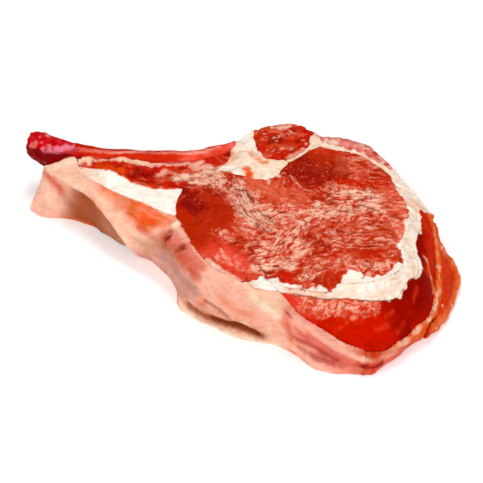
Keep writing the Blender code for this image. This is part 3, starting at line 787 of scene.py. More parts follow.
def shape_cap(skin, sizes, colours):
    place = skin.place
    skin.coat(colours.bright_red)
    skin.paint(colours.deep_red, skin.near(CAP_HOLLOW, 19, 0.3, 401) * 0.9)
    skin.paint(colours.deep_red, soft_step(0.2, 1.0, bumps(place, 14, 402, 2)) * 0.4)
    skin.paint(colours.flush, skin.near(((24, -58), (32, -63), (42, -68)), 6, 0.3, 403) * 0.5)
    skin.paint(colours.deep_red, skin.near(((104, -48), (99, -57), (96, -64)), 12, 0.5, 400) * 0.7)
    skin.paint(colours.vermilion, skin.near(((118, -34), (119, -10), (116, 10)), 8, 0.3, 404) * 0.7)
    skin.lift += bumps(place, 22, 405, 2) * 0.8 * skin.up
    skin.lift += Grain(406).at(combed(place, 25, 11, 4)) * 0.25 * skin.up
    patch = skin.near(((38, -62), (52, -65), (64, -66), (76, -63)), 7.5, 0.4, 407) * skin.up
    bent = warped(place, 7, 2.0, 408)
    height = 0.55 * Grain(409).at(combed(bent, 8, 3.6, 1.4))
    height += 0.6 * Grain(410).at(combed(bent, 15, 2.0, 0.8))
    # Paint that follows the crinkle height: the crests paler in coral and the pale fleck colour, partly dry
    # tips and partly painted highlight, and thin dark lines in the hollows as painted shade
    skin.paint(colours.coral, patch * (0.6 + 0.4 * soft_step(-0.6, 0.0, height)))
    skin.paint(colours.dry_fleck_and_highlight, patch * soft_step(-0.2, 0.6, height) * 0.85)
    skin.paint(colours.crack, patch * thin_line(height, -0.25, 0.1) * 0.4)
    skin.lift += patch * height * sizes.crinkle / MM * 0.7
    for index, line in enumerate(CAP_GLINTS):
        bend = np.stack([bumps(place, 5, 431 + index), bumps(place, 5, 471 + index)], axis=1)
        glint = soft_step(2.0, 0.2, distance_to(line, skin.plan() + bend)) * skin.up
        skin.lift += glint * 0.3
        skin.paint(colours.flush, glint * 0.35)
    fork = skin.near(RIM_FORK, 2.0, 0.5, 432) * (1 - skin.under)
    skin.paint(colours.orange, fork * 0.75)
    skin.paint(colours.peach, fork * soft_step(-0.2, 0.6, bumps(place, 5, 433)) * 0.5)
    skin.lift += fork * 0.5
    ragged = distance_to(SEAM_FOOT[3:], skin.plan()) + 1.4 * bumps(place, 7, 428)
    ragged += 1.2 * bumps(place, 3.6, 429)
    crumbs = soft_step(1.2, 0.5, ragged)
    skin.paint(colours.white_fat, crumbs * 0.95)
    skin.paint(colours.cream, crumbs * soft_step(-0.2, 0.7, bumps(place, 9, 510, 2)) * 0.6)
    skin.lift += crumbs * 0.5
    skin.wet = np.clip(0.75 + 0.2 * bumps(place, 10, 430) - 0.75 * skin.side, 0, 1)


# bright edge of the skin round the near corner
CORNER_LIP = ((66, -83, 15), (72, -85, 13), (78, -86, 12), (84, -84, 11), (90, -81, 11), (96, -78, 11),
              (103, -72, 10), (109, -67, 12))


def paint_corner(skin, colours):
    """Dark meat that shows under the skin at the near corner, alike on the pieces that meet there."""
    x = skin.place[:, 0]
    here = soft_step(62, 74, x) * soft_step(112, 96, x) * soft_step(0.3, -0.1, skin.facing[:, 1])
    skin.paint(colours.rust, here * 0.9)
    skin.paint(colours.vermilion, here * soft_step(-0.2, 0.5, bumps(skin.place, 7, 760, 2)) * 0.6)
    low = skin.near(((60, 9), (68, 7.5), (76, 7.5)), 2.4, 0.4, 761, "front")
    skin.paint(colours.magenta, low * here * 0.7)
    low = skin.near(((73, 7.5), (84, 7)), 2.6, 0.4, 762, "front")
    skin.paint(colours.deep_red, low * here * 0.8)
    lip = skin.near(CORNER_LIP, 2.6, 0.2, 763) * (1 - skin.under) * soft_step(104, 74, x)
    skin.paint(colours.salmon, lip * soft_step(-0.9, -0.2, bumps(skin.place, 8, 764)))
    flat = skin.facing[:, 1]
    skin.place[:, 1] -= ROUNDED * (1 + flat) * soft_step(-0.1, -0.45, flat) * skin.border * here * skin.side


def shape_rim(skin, sizes, colours):
    place = skin.place
    skin.coat(colours.burnt)
    skin.paint(colours.orange, soft_step(-0.4, 0.4, bumps(place, 8, 440, 2)) * 0.5)
    skin.paint(colours.bright_red, soft_step(0.3, 0.8, bumps(place, 6, 441)) * 0.6)
    skin.paint(colours.rust, soft_step(98, 88, place[:, 0]) * 0.8)
    paint_corner(skin, colours)
    beside = distance_to(RIM_CREST, skin.plan()) + 0.6 * bumps(place, 5, 443)
    crest = soft_step(1.5, 0.5, beside) * skin.up * soft_step(84, 96, place[:, 0])
    skin.paint(colours.orange, crest * 0.8)
    skin.paint(colours.peach, crest * soft_step(-0.5, 0.3, bumps(place, 7, 444)) * 0.75)
    skin.push(OUTER_PUSHES, 445)
    skin.lift += bumps(place, 7, 442, 2) * 0.5 * (1 - skin.under) + crest * 0.4


def shape_flap(skin, sizes, colours):
    place = skin.place
    skin.coat(colours.burnt)
    skin.paint(colours.orange, 0.3 + 0.4 * soft_step(0.2, 0.8, bumps(place, 9, 455)))
    edge = distance_to(FLAP_EDGE, skin.plan()) + 1.5 * bumps(place, 7, 457)
    skin.paint(colours.vermilion, soft_step(2.5, 5, edge) * 0.85)
    skin.paint(colours.orange_red, soft_step(0.2, 0.9, bumps(place, 8, 450, 2)) * 0.3)
    skin.paint(colours.orange_red, soft_step(0.2, 0.6, Grain(456).at(combed(place, 75, 9, 2.0))) * 0.35)
    skin.paint(colours.orange, soft_step(4, 1, edge) * soft_step(-0.5, 0.3, bumps(place, 6, 454)) * 0.9)
    # Painted highlight: small pale spots over the flap
    skin.paint(colours.dry_fleck_and_highlight, soft_step(0.45, 0.8, bumps(place, 3.5, 451)) * 0.75)
    skin.lift += bumps(place, 6, 452, 3) * 0.8 * (1 - skin.under)


# ---- fat: seam, chine, tail strip -------------------------------------------------------------

def lobed(skin, size, height, seed):
    """Round lobes with creases between them; gives the depth of the creases from 0 to 1."""
    warp = np.stack([bumps(skin.place, size * 2, seed + k) for k in range(3)], axis=1)
    gap, number = Grain(seed + 5).cells((skin.place + warp * size * 0.4) / size)
    dome = soft_step(0.0, 0.5, gap)
    skin.lift += (dome - 0.6 + 0.5 * (number - 0.5)) * height * (1 - skin.under)
    return 1 - dome


def shape_seam_fat(skin, sizes, colours):
    place = skin.place
    skin.coat(colours.white_fat)
    creases = lobed(skin, 6.0, sizes.crumb / MM * 0.5, 500)
    skin.lift += bumps(place, 5, 507, 3) * sizes.crumb / MM * 0.4 * (1 - skin.under)
    skin.lift += skin.border * soft_step(0.0, 0.5, bumps(place, 4.5, 508)) * sizes.crumb / MM * 0.9 * skin.up
    # Painted shade: peach in the creases between the lobes
    skin.paint(colours.peach, creases * 0.45)
    skin.paint(colours.cream, soft_step(-0.2, 0.7, bumps(place, 9, 510, 2)) * 0.6)
    skin.paint(colours.peach, skin.near(((30, -57), (40, -59), (48, -61)), 5, 0.3, 509) * 0.8)
    skin.paint(colours.white_fat, skin.near(((12, -51), (18, -52), (23, -55)), 6, 0.2, 512))
    # Painted shade: a little peach on the low slope along the foot of the seam
    foot = distance_to(SEAM_FOOT, skin.plan()) + 1.0 * bumps(place, 6, 514)
    skin.paint(colours.peach, soft_step(4.5, 1.5, foot) * 0.2)
    thin = soft_step(30, 45, place[:, 1])
    skin.paint(colours.cream, thin * 0.7)
    skin.paint(colours.peach, thin * soft_step(-0.4, 0.5, bumps(place, 9, 513)) * 0.7)
    skin.paint(colours.salmon, thin * soft_step(0.2, 0.8, bumps(place, 7, 511)) * 0.6)
    skin.paint(colours.orange, soft_step(6, 3, distance_to(((108, 12), (112, 9)), skin.plan())) * 0.3)
    skin.wet[:] = 0.35


def shape_chine_fat(skin, sizes, colours):
    place = skin.place
    skin.coat(colours.cream)
    skin.paint(colours.peach, soft_step(0.0, 0.8, bumps(place, 8, 522, 2)) * 0.7)
    skin.paint(colours.white_fat, skin.near(((4, 72), (6, 64), (8, 56)), 8, 0.3, 520) * 0.8)
    skin.paint(colours.white_fat, skin.near(((-10, 44), (-3, 41), (4, 40)), 7, 0.3, 521) * 0.7)
    skin.paint(colours.orange, skin.near(((8, 54), (11, 49), (17, 44)), 3.2, 0.4, 523) * skin.up * 0.75)
    nodule = skin.near(((5, 39), (7, 35), (7, 30)), 4.6, 0.3, 524)
    skin.paint(colours.orange, nodule)
    skin.paint(colours.burnt, skin.near(((6, 35), (7, 31)), 3.0, 0.3, 527) * 0.9)
    skin.paint(colours.rust, skin.near(((-5, 57), (-4, 52)), 3.5, 0.5, 519) * skin.up * 0.8)
    skin.paint(colours.white_fat, skin.near(((18, 38), (19, 31)), 5.0, 0.5, 517) * skin.up * 0.5)
    skin.lift += (nodule * 0.8 + bumps(place, 9, 525, 3) * 0.9) * (1 - skin.under)
    ring = soft_step(1.8, 0.3, np.abs(distance_to(((3, 49),), skin.plan()) - 7.5)) * skin.up
    skin.paint(colours.peach, ring * soft_step(-0.4, 0.4, bumps(place, 6, 526)))
    skin.paint(colours.orange, skin.near(((-8, 46), (-5, 54)), 2.5, 0.5, 528) * skin.up * 0.5)
    skin.paint(colours.rust, skin.near(((-9, 39), (-4, 37)), 2.2, 0.5, 529) * skin.up * 0.7)
    skin.wet[:] = 0.45


# line up to which torn meat lies over the strip
MEAT_EDGE = ((-98, 50), (-93, 46), (-85, 41), (-79, 38.5), (-72, 33.5), (-66, 29.5), (-62, 27),
             (-56, 25.5), (-50, 24.5), (-40, 24))


def shape_tail_fat(skin, sizes, colours):
    place = skin.place
    x, y = skin.plan().T
    skin.coat(colours.white_fat)
    skin.paint(colours.peach, soft_step(-84, -100, x) * 0.8)
    skin.paint(colours.cream, soft_step(0.1, 0.8, bumps(place, 10, 530, 2)) * 0.6)
    skin.paint(colours.orange, skin.near(((-62, 15), (-50, 8), (-40, 4)), 2.2, 0.3, 531) * 0.7)
    skin.paint(colours.magenta, skin.near(((-102, 48),), 1.8, 0.3, 534) * 0.6)
    torn = y - np.interp(x, *zip(*MEAT_EDGE)) + 1.0 * bumps(place, 6, 535, 2)
    torn = soft_step(-0.4, 0.8, torn) * soft_step(-97, -92, x)
    skin.paint(colours.rust, soft_step(-98, -90, x) * torn * 0.9)
    skin.paint(colours.vermilion, torn * soft_step(-0.4, 0.4, bumps(place, 5, 536, 2)))
    skin.lift += Grain(532).at(combed(place, -32, 16, 4)) * 0.5 * (1 - skin.under)
    skin.lift += bumps(place, 9, 533, 2) * 0.4 * (1 - skin.under)
    skin.wet[:] = 0.4


# ---- meat of the tail and along the chine -----------------------------------------------------

# line in the tail meat, its reach, its colour, how strong it is
TAIL_STAINS = (
    (((-92, 46), (-84, 43), (-76, 41)), 5, "burnt", 0.6),
    (((-66, 40), (-56, 36)), 5, "deep_red", 0.8),
    (((-48, 42), (-38, 42)), 4, "burnt", 0.5),
    (((-58, 30), (-52, 28)), 4, "deep_red", 0.6),
    (((-106, 53), (-98, 53)), 4.5, "peach", 1.0),
    (((-96, 52.5), (-84, 51), (-76, 50.5)), 1.8, "peach", 0.9),
    (((-76, 50), (-66, 49), (-56, 48)), 3.4, "peach", 1.0),
    (((-58, 48), (-46, 47), (-34, 48), (-24, 49)), 2.4, "salmon", 0.9),
    (((-51, 38), (-47, 41)), 3, "salmon", 0.8),
    (((-54, 36), (-49, 36), (-42, 34), (-36, 32)), 2.4, "rust", 0.6),
    (((-38, 36), (-28, 38), (-20, 39), (-10, 41)), 7.5, "peach", 1.0),
    (((-30, 46), (-20, 44)), 4, "salmon", 0.85),
    (((-31, 41), (-24, 41)), 2, "vermilion", 0.8),
)


def shape_tail_meat(skin, sizes, colours):
    place = skin.place
    skin.coat(colours.bright_red)
    bent = warped(place, 9, 2.5, 720)
    fibre = Grain(540).at(combed(bent, -12, 9, 2.2))
    tear = bumps(bent, 6, 542, 3)
    skin.paint(colours.deep_red, soft_step(0.0, -0.8, tear) * 0.85)
    skin.paint(colours.vermilion, soft_step(0.1, 0.8, fibre) * 0.7)
    skin.paint(colours.coral, soft_step(0.1, 0.6, Grain(543).at(combed(bent, -8, 8, 3))) * 0.8)
    skin.stain(colours, TAIL_STAINS, 730, 0.45, "plan", skin.up)
    pale = skin.near(((-38, 33), (-26, 38), (-10, 40)), 9, 0.3, 745) * skin.up
    ridges = Grain(746).at(combed(bent, -20, 5, 2))
    skin.paint(colours.lean_red, pale * soft_step(0.2, 0.6, ridges) * 0.8)
    # Thin dark lines beside the ridges in the crack colour, partly painted shade
    skin.paint(colours.crack, pale * thin_line(ridges, 0.1, 0.13) * 0.7)
    skin.lift += (tear * 0.9 + fibre * 0.6) * sizes.shred / MM * skin.up
    skin.wet = np.clip(0.6 + 0.3 * tear, 0, 1)


def shape_chine_muscle(skin, sizes, colours):
    place = skin.place
    skin.coat(colours.lean_red)
    bent = warped(place, 12, 3.0, 550)
    gap, number = Grain(555).cells(combed(bent, 20, 9, 5))
    dome = soft_step(0.0, 0.4, gap)
    skin.paint(colours.coral, soft_step(0.45, 0.9, number) * 0.9)
    skin.paint(colours.bright_red, soft_step(0.45, 0.1, number) * 0.7)
    tear = bumps(bent, 5, 557, 2)
    skin.paint(colours.deep_red, soft_step(0.1, 0.8, tear) * 0.7)
    skin.paint(colours.deep_red, skin.near(((26, 64), (22, 66)), 6, 0.5, 553) * skin.up * 0.8)
    lanes = combed(warped(place, 5, 2.0, 551), 15, 5, 2.2)
    strands = soft_step(0.3, 0.65, Grain(556).at(lanes)) * soft_step(-0.4, 0.4, bumps(place, 9, 554))
    skin.paint(colours.salmon, strands * 0.75)
    skin.paint(colours.vermilion, soft_step(-0.3, -0.8, Grain(556).at(lanes)) * 0.6)
    skin.paint(colours.peach, skin.near(((22, 80), (28, 79), (34, 81)), 2.6, 0.6, 558) * 0.8)
    skin.paint(colours.salmon, skin.near(((28, 45), (34, 50), (41, 57)), 3, 0.4, 559) * skin.up * 0.6)
    skin.lift += ((dome - 0.5) + 0.4 * strands) * sizes.bundle / MM * (1 - skin.under)
    skin.lift -= tear * 0.35 * (1 - skin.under)
    skin.wet[:] = 0.6


def shape_back_flap(skin, sizes, colours):
    place = skin.place
    skin.coat(colours.rose)
    skin.paint(colours.lean_red, soft_step(0.1, 0.7, bumps(place, 9, 560, 2)) * 0.8)
    skin.paint(colours.peach, soft_step(0.1, 0.6, bumps(place, 7, 561, 2)) * 0.85)
    skin.paint(colours.mauve, soft_step(0.1, 0.7, bumps(place, 12, 562)) * 0.6)
    skin.paint(colours.cream, skin.near(((58, 70), (63, 68.5)), 4, 0.4, 564) * 0.9)
    skin.paint(colours.crimson, soft_step(0.25, 0.6, bumps(place, 4.5, 566, 2)) * 0.75)
    skin.paint(colours.cream, soft_step(0.4, 0.75, bumps(place, 4, 568, 2)) * 0.7)
    skin.paint(colours.magenta, soft_step(64, 72, place[:, 1] + 0.35 * (place[:, 0] - 75)) * 0.3)
    skin.push(((((62, 74), (76, 74), (90, 64)), 8, 1.3),), 565)
    skin.lift += bumps(place, 8, 563, 3) * 0.6 * (1 - skin.under)


# ---- rib bone ---------------------------------------------------------------------------------

def middle_of(skin):
    """How far each point lies across the piece from its middle line, and how near its far edge."""
    x, y = skin.plan().T
    stations = np.arange(x.min(), x.max() + 3, 3.0)
    slices = [y[np.abs(x - station) < 3] for station in stations]
    middles = [(part.min() + part.max()) / 2 for part in slices]
    backs = [part.max() for part in slices]
    return y - np.interp(x, stations, middles), np.interp(x, stations, backs) - y


# pale line along the rib
SKIN_LINE = ((-111, 61), (-97, 59), (-84, 57.3), (-71, 56.8), (-58, 56.8), (-46, 57), (-32, 56),
             (-22, 58), (-13, 61.5))


def shape_bone(skin, sizes, colours):
    place = skin.place
    x, z = skin.front().T
    across, inside = middle_of(skin)
    across += 0.8 * bumps(place, 14, 569)
    above = soft_step(30, 38, z)
    skin.coat(colours.crimson)
    streak = Grain(570).at(place / (18, 2.0, 3.0))
    skin.paint(colours.lean_red, soft_step(-0.9, 0.0, streak) * soft_step(-112, -98, x) * 0.85)
    skin.paint(colours.vermilion, soft_step(-0.1, 0.6, streak) * soft_step(-108, -90, x) * 0.75)
    skin.paint(colours.flush, soft_step(-1.0, -0.1, bumps(place, 12, 576)) * soft_step(-54, -34, x) * 0.95)
    skin.paint(colours.rose, soft_step(0.0, 0.6, bumps(place, 9, 579)) * soft_step(-46, -32, x) * 0.4)
    skin.paint(colours.deep_red, soft_step(0.35, 0.8, Grain(571).at(place / (14, 1.8, 3.0))) * 0.5)
    band = skin.near(SKIN_LINE, 2.1, 0.3, 578) * above
    skin.paint(colours.salmon, soft_step(-4.6, -6.0, across) * soft_step(-104, -92, x) * above * 0.9)
    back = soft_step(5.2, 3.4, inside + 0.5 * bumps(place, 8, 568))
    skin.paint(colours.maroon, back * soft_step(-124, -114, x) * 0.9)
    bright = np.interp(x, (-104, -92, -56, -34), (0, 0.7, 0.7, 0))
    skin.paint(colours.vermilion, soft_step(-0.5, -2.5, across) * bright * above)
    skin.paint(colours.rose, band * 0.5)
    skin.paint(colours.salmon, band * soft_step(-0.3, 0.5, streak) * soft_step(-100, -80, x) * 0.75)
    knob = soft_step(-114, -122, x)
    lumps = bumps(place, 5, 575, 2)
    skin.paint(colours.crimson, knob * 0.9)
    skin.paint(colours.rose, knob * soft_step(0.1, 0.6, lumps) * 0.75)
    skin.paint(colours.bright_red, knob * soft_step(0.2, 0.7, -lumps) * 0.6)
    front = knob * soft_step(0.15, -0.25, skin.facing[:, 1]) * soft_step(42.5, 40, z)
    skin.paint(colours.maroon, front)
    # Painted highlight: a pale pink streak along the top of the knob
    glow = skin.near(((-128, 62), (-120, 61.5), (-110, 62)), 3.4, 0.5, 572) * soft_step(38, 42, z)
    skin.paint(colours.bone_highlight_pink, glow * 0.9)
    skin.paint(colours.magenta, skin.near(((-117, 58.5), (-106, 60)), 2.0, 0.4, 573) * above * 0.8)
    skin.push(((((-112, 66), (-90, 62), (-60, 56)), 9, 1.0), (((-36, 60), (-24, 66)), 7, 0.8)), 577)
    skin.lift += bumps(place, 10, 574, 2) * 0.5 + streak * 0.22 + knob * lumps * 0.8
    skin.wet = np.clip(0.7 + 0.3 * streak, 0, 1)


# ---- long side --------------------------------------------------------------------------------

RIDGE = ((-126, 35), (-110, 35), (-92, 34), (-86, 32), (-82, 29), (-77, 24), (-72, 19), (-66, 11), (-61, 4))
CREASE = ((-31, 8), (-21, 7), (-8, 7.5), (0, 9), (8, 7.5), (14, 5.5))
DEEP_CREASE = ((-16, 7.2), (-8, 7.8), (0, 9.3), (8, 7.5), (11, 6.5))
UPPER_CREASE = ((-20, 18), (-12, 16), (-5, 12), (0, 10))
LIP = ((-33, 11), (-24, 12), (-14, 13), (0, 13.5), (12, 11))
# plan line near the foot of the side, its reach, how far it goes out or in
SIDE_PUSHES = (
    (((-88, 22), (-76, 12), (-66, 2)), 10, 2.0),
    (((-54, -8), (-48, -18), (-42, -30)), 9, -2.0),
    (((26, -70), (36, -75), (48, -82)), 9, -1.5),
    (((-134, 46), (-134, 52)), 6, 1.0),
)
# line on the long side, its reach, its colour, how strong it is
SIDE_STAINS = (
    (((-134, 12), (-124, 12), (-114, 6)), 13, "salmon", 1.0),
    (((-130, 22), (-122, 14)), 9, "peach", 0.5),
    (((-126, 16), (-120, 10)), 6, "peach", 0.5),
    (((-125, 30), (-117, 25)), 7, "rust", 0.95),
    (((-114, 4), (-106, 2)), 6, "orange", 0.5),
    (((-122, 40), (-104, 40), (-90, 38)), 5, "salmon", 1.0),
    (((-84, 38), (-77, 38)), 5, "orange", 0.5),
    (((-86, 35), (-76, 31), (-68, 28), (-60, 24)), 5, "peach", 1.0),
    (((-88, 30, 39), (-78, 22, 38), (-68, 16, 38)), 9, "orange", 0.55),
    (((-66, 12, 37), (-56, 6, 36), (-46, 3, 38)), 10, "orange", 0.95),
    (((-60, 7, 36), (-53, 4, 36)), 5.5, "burnt", 0.9),
    (((-62, 15, 40), (-56, 12, 40), (-49, 8, 40)), 2.4, "burnt", 0.7),
    (((-62, 31), (-55, 29)), 3, "rust", 0.7),
    (((-58, 23), (-54, 24)), 6, "tan", 0.7),
    (((-60, 10), (-48, 12)), 9, "mauve", 0.9),
    (((-46, -16, 26), (-42, -21, 24), (-36, -31, 24), (-29, -38, 22)), 11, "mauve", 1.0),
    (((-40, -27, 12), (-36, -33, 14)), 7, "mauve", 0.9),
    (((-52, -7, 29), (-46, -12, 30), (-41, -19, 32)), 6, "tan", 0.8),
    (((-48, -11, 30), (-45, -14, 31)), 3, "dried_brown_and_shade", 0.5),
    (((-37, -25, 37), (-30, -33, 39), (-25, -37, 37)), 9, "rust", 1.0),
    (((-46, -9, 35), (-40, -16, 35), (-36, -20, 36)), 6, "rust", 0.9),
    (((-43, -15, 31), (-39, -20, 33)), 5, "tan", 0.7),
    (((-17, 41), (-14, 30), (-15, 20)), 8, "salmon", 1.0),
    (((-18, 34), (-17, 26)), 4, "rose", 0.35),
    (((-9, 27), (-2, 22), (6, 20)), 7, "orange", 0.5),
    (((-2, 38), (4, 28)), 6, "salmon", 0.7),
    (((8, 40), (16, 35), (23, 34)), 9, "peach", 1.0),
    (((8, 38), (16, 31), (22, 26)), 4.5, "cream", 0.9),
    (((28, 36), (28, 22), (30, 12)), 3.5, "rust", 0.7),
    (((34, 30), (44, 22), (56, 14), (68, 9)), 9, "rose", 1.0),
    (((36, 20), (48, 13), (62, 7)), 9, "rust", 0.65),
    (((34, 21), (44, 15), (56, 9), (66, 6)), 8, "flush", 0.25),
    (((36, 18), (46, 11), (58, 7)), 6, "magenta", 0.2),
    (((33, 28), (38, 24)), 3, "salmon", 0.8),
    (((-34, 2), (-10, 2), (24, 1)), 5, "cream", 0.95),
    (((34, 31), (46, 24), (58, 17), (70, 13)), 2.2, "salmon", 0.8),
    (((-47, -15, 25), (-40, -25, 23), (-31, -36, 22)), 9, "mauve", 0.75),
    (((-29, -24, 41), (-26, -31, 41), (-23, -37, 40), (-25, -38, 35)), 7, "rust", 0.75),
    (((-29, -24, 41), (-26, -31, 41), (-23, -37, 40)), 6, "rose", 0.4),
    (((-20, -44, 37), (-17, -47, 31), (-14, -49, 23)), 4, "salmon", 0.9),
    (((-20, -44, 36), (-17, -47, 31)), 3, "peach", 0.6),
    # Painted shade: a dark line along the lower edge where the side turns under
    (((-54, -6, 8), (-49, -17, 8), (-44, -24, 7), (-39, -33, 3)), 3.0, "dried", 0.75),
    (((-48, -19, 6), (-44, -25, 4)), 2.4, "dried_brown_and_shade", 0.6),
)
# places on the long side, their reach
DARK_PITS = (((-45, -9, 36), 5.5), ((-34, -21, 38), 4.2))
LUMPS = ((((-39, -3, 40),), 5, "cream"), (((-36, -8, 40), (-32, -15, 41)), 5, "salmon"),
         (((-39, -12, 38), (-36, -17, 38)), 4, "rose"))
PALE_EDGE = ((32, -70, 33), (36, -72, 30), (43, -75, 26), (54, -79, 20), (63, -82, 16), (73, -85, 13))
EYE_EDGE = ((-20, -34, 44), (-14, -41, 44), (-8, -46, 44), (0, -52, 44))
TIP_BACK = ((-134, 53), (-126, 53.5), (-118, 54.5), (-111, 56), (-104, 57.5))   # end of the tip's skin
DARK_STREAKS = (
    ((32, 14), (38, 14), (44, 14), (49, 12)),
    ((36, 8), (46, 7), (56, 6)),
    ((52, 11), (58, 9)),
)


def shape_long_side(skin, sizes, colours):
    place = skin.place
    near_side = soft_step(0.3, -0.1, skin.facing[:, 1])
    skin.coat(colours.salmon)
    strokes = Grain(638).at(combed(warped(place, 9, 1.5, 634), -36, 15, 2.2))
    skin.paint(colours.orange, soft_step(0.2, 0.7, strokes) * soft_step(-104, -88, place[:, 0]) * 0.5)
    skin.paint(colours.peach, soft_step(-0.2, -0.7, strokes) * 0.8)
    skin.paint(colours.cream, skin.up * soft_step(-94, -102, place[:, 0]) * 0.5)
    skin.stain(colours, SIDE_STAINS, 600, 0.25, "front", near_side, 0.2)
    soaked = skin.near(((-66, 36), (-56, 36), (-46, 36)), 9, 0.3, 637, "front")
    soaked *= soft_step(28, 32, place[:, 2])
    skin.paint(colours.burnt, soaked * soft_step(0.0, 0.6, strokes) * 0.6)
    skin.paint(colours.salmon, soaked * soft_step(-0.2, -0.7, strokes) * 0.35)
    skin.paint(colours.maroon, skin.near(((29, -66, 33), (31, -67, 31)), 2.6, 0.4, 639) * 0.7)
    x, y, z = place.T
    # Painted shade: the undercut below the ridge is painted tan and dried, darker just under the ridge,
    # towards its right and in brown at its foot, and it is also sunk a little
    below = np.interp(x, *zip(*RIDGE)) - z + 0.8 * bumps(place, 9, 640)
    undercut = soft_step(1.0, 5.0, below) * soft_step(-58, -64, x) * near_side
    undercut *= soft_step(-119, -100, x + 0.3 * (22 - z) + 2.5 * bumps(place, 10, 641))
    skin.paint(colours.tan, undercut)
    skin.paint(colours.dried, undercut * soft_step(-100, -88, x) * soft_step(-72, -80, x) * 0.35)
    skin.paint(colours.dried, undercut * soft_step(6, 3, below) * 0.6)
    skin.paint(colours.dried, undercut * soft_step(-82, -93, x + 2 * bumps(place, 12, 642)))
    skin.paint(colours.orange, undercut * soft_step(6, 1, z) * soft_step(-92, -100, x) * 0.6)
    foot = soft_step(5, 1, z + bumps(place, 5, 643)) * soft_step(-98, -90, x)
    skin.paint(colours.dried_brown_and_shade, undercut * foot * 0.9)
    skin.lift -= undercut * soft_step(12, 4, below) * 1.2
    ridge = skin.near(RIDGE, 3.5, 0.2, 650, "front") * near_side
    skin.lift += ridge * 0.9
    # Painted highlight: a pale peach line just above the ridge
    skin.paint(colours.peach, skin.near(np.add(RIDGE, (0.5, 1.5)), 2.4, 0.3, 651, "front") * near_side * 0.6)
    # Painted shade: the creases are painted dried and brown, with a wider tan band round the main crease,
    # besides being sunk
    shallow = skin.near(UPPER_CREASE, 2.2, 0.3, 655, "front") * near_side
    skin.paint(colours.dried, shallow * 0.6)
    skin.paint(colours.tan, skin.near(CREASE, 6.0, 0.3, 656, "front", 0.2) * near_side * 0.8)
    crease = skin.near(CREASE, 2.9, 0.3, 652, "front") * near_side
    deepest = skin.near(DEEP_CREASE, 2.4, 0.3, 653, "front") * near_side
    skin.paint(colours.dried, crease * 0.85)
    skin.paint(colours.dried_brown_and_shade, deepest)
    skin.lift -= (0.5 * shallow + 0.6 * crease + 0.8 * deepest) * sizes.fold / MM
    lip = skin.near(LIP, 3.0, 0.2, 654, "front") * near_side
    skin.lift += lip * sizes.fold / MM * 0.7
    for index, (spot, reach) in enumerate(DARK_PITS):
        pit = skin.near((spot,), reach, 0.5, 670 + index, "plan", 0.15)
        skin.paint(colours.rust, skin.near((spot,), reach * 1.7, 0.35, 675 + index, "plan", 0.3) * 0.8)
        skin.paint(colours.deep_red, pit * 0.8)
        # The crack colour deepens the pit, partly as painted shade in its hollow
        skin.paint(colours.crack, pit * 0.4)
        skin.lift -= pit * 0.6
    for index, (line, reach, shade) in enumerate(LUMPS):
        lump = skin.near(line, reach, 0.3, 660 + index)
        skin.paint(getattr(colours, shade), lump)
        skin.lift += lump * 1.8
    edge = skin.near(EYE_EDGE, 3.0, 0.2, 665) * (1 - skin.under)
    skin.paint(colours.cream, edge * 0.7)
    skin.paint(colours.salmon, skin.near(PALE_EDGE, 3.6, 0.25, 666) * 0.85)
    for index, line in enumerate(DARK_STREAKS):
        streak = skin.near(line, 2.6, 0.3, 680 + index, "front") * near_side
        skin.paint(colours.magenta, streak * 0.6)
        skin.lift -= streak * 0.8
    paint_corner(skin, colours)
    skin.push(SIDE_PUSHES, 694)
    back = y - np.interp(x, *zip(*TIP_BACK)) + 0.4 * bumps(place, 5, 696)
    skin.paint(colours.cream, soft_step(-96, -104, x) * soft_step(-9, -4, back) * soft_step(34, 38, z) * 0.5)
    skin.paint(colours.maroon, soft_step(-0.6, 0.4, back) * soft_step(-104, -108, x) * soft_step(32, 36, z))
    tip = skin.near(((-131, 58), (-119, 57)), 6, 0.1, 695)
    skin.place[:, 2] -= tip * soft_step(30, 38, z) * 3
    skin.lift += bumps(place, 22, 690, 3) * 0.9 * (1 - skin.under)
    skin.lift += Grain(692).at(place / (9, 9, 30)) * 0.25 * skin.side
    skin.wet = np.clip(0.4 + 0.25 * bumps(place, 14, 693), 0, 1)


# ---- stage ------------------------------------------------------------------------------------

FLOOR_REACH = 4.0                       # metres from the middle of the floor to its sides
SKY_LOW, SKY_HIGH = -0.3, 0.45          # where the light from all round starts and stops to fade to the rear
# light, its size and its distance in metres, its azimuth and elevation in degrees
LIGHTS = (("key", 0.7, 1.2, (-25, 50)), ("side", 0.5, 1.1, (70, 35)), ("gloss", 0.35, 1.1, (175, 77)))
LENS, SENSOR = 85, 36                   # millimetres
AIM_ASIDE = (0.0016, -0.00127)          # metres in plan from the middle of the solids to the camera's aim
AIM_HEIGHT = 0.023


def area_light(name, power, size, toward, distance, target):
    """A soft round light that looks at the target from a direction (azimuth, elevation)."""
    azimuth, elevation = (math.radians(value) for value in toward)
    back = Vector((math.sin(azimuth) * math.cos(elevation), -math.cos(azimuth) * math.cos(elevation),
                   math.sin(elevation)))
    light = bpy.data.lights.new(name, "AREA")
    light.energy = power
    light.shape = "DISK"
    light.size = size
    holder = bpy.data.objects.new(name, light)
    holder.location = target + back * distance
    holder.rotation_euler = back.to_track_quat("Z", "Y").to_euler()
    bpy.context.scene.collection.objects.link(holder)


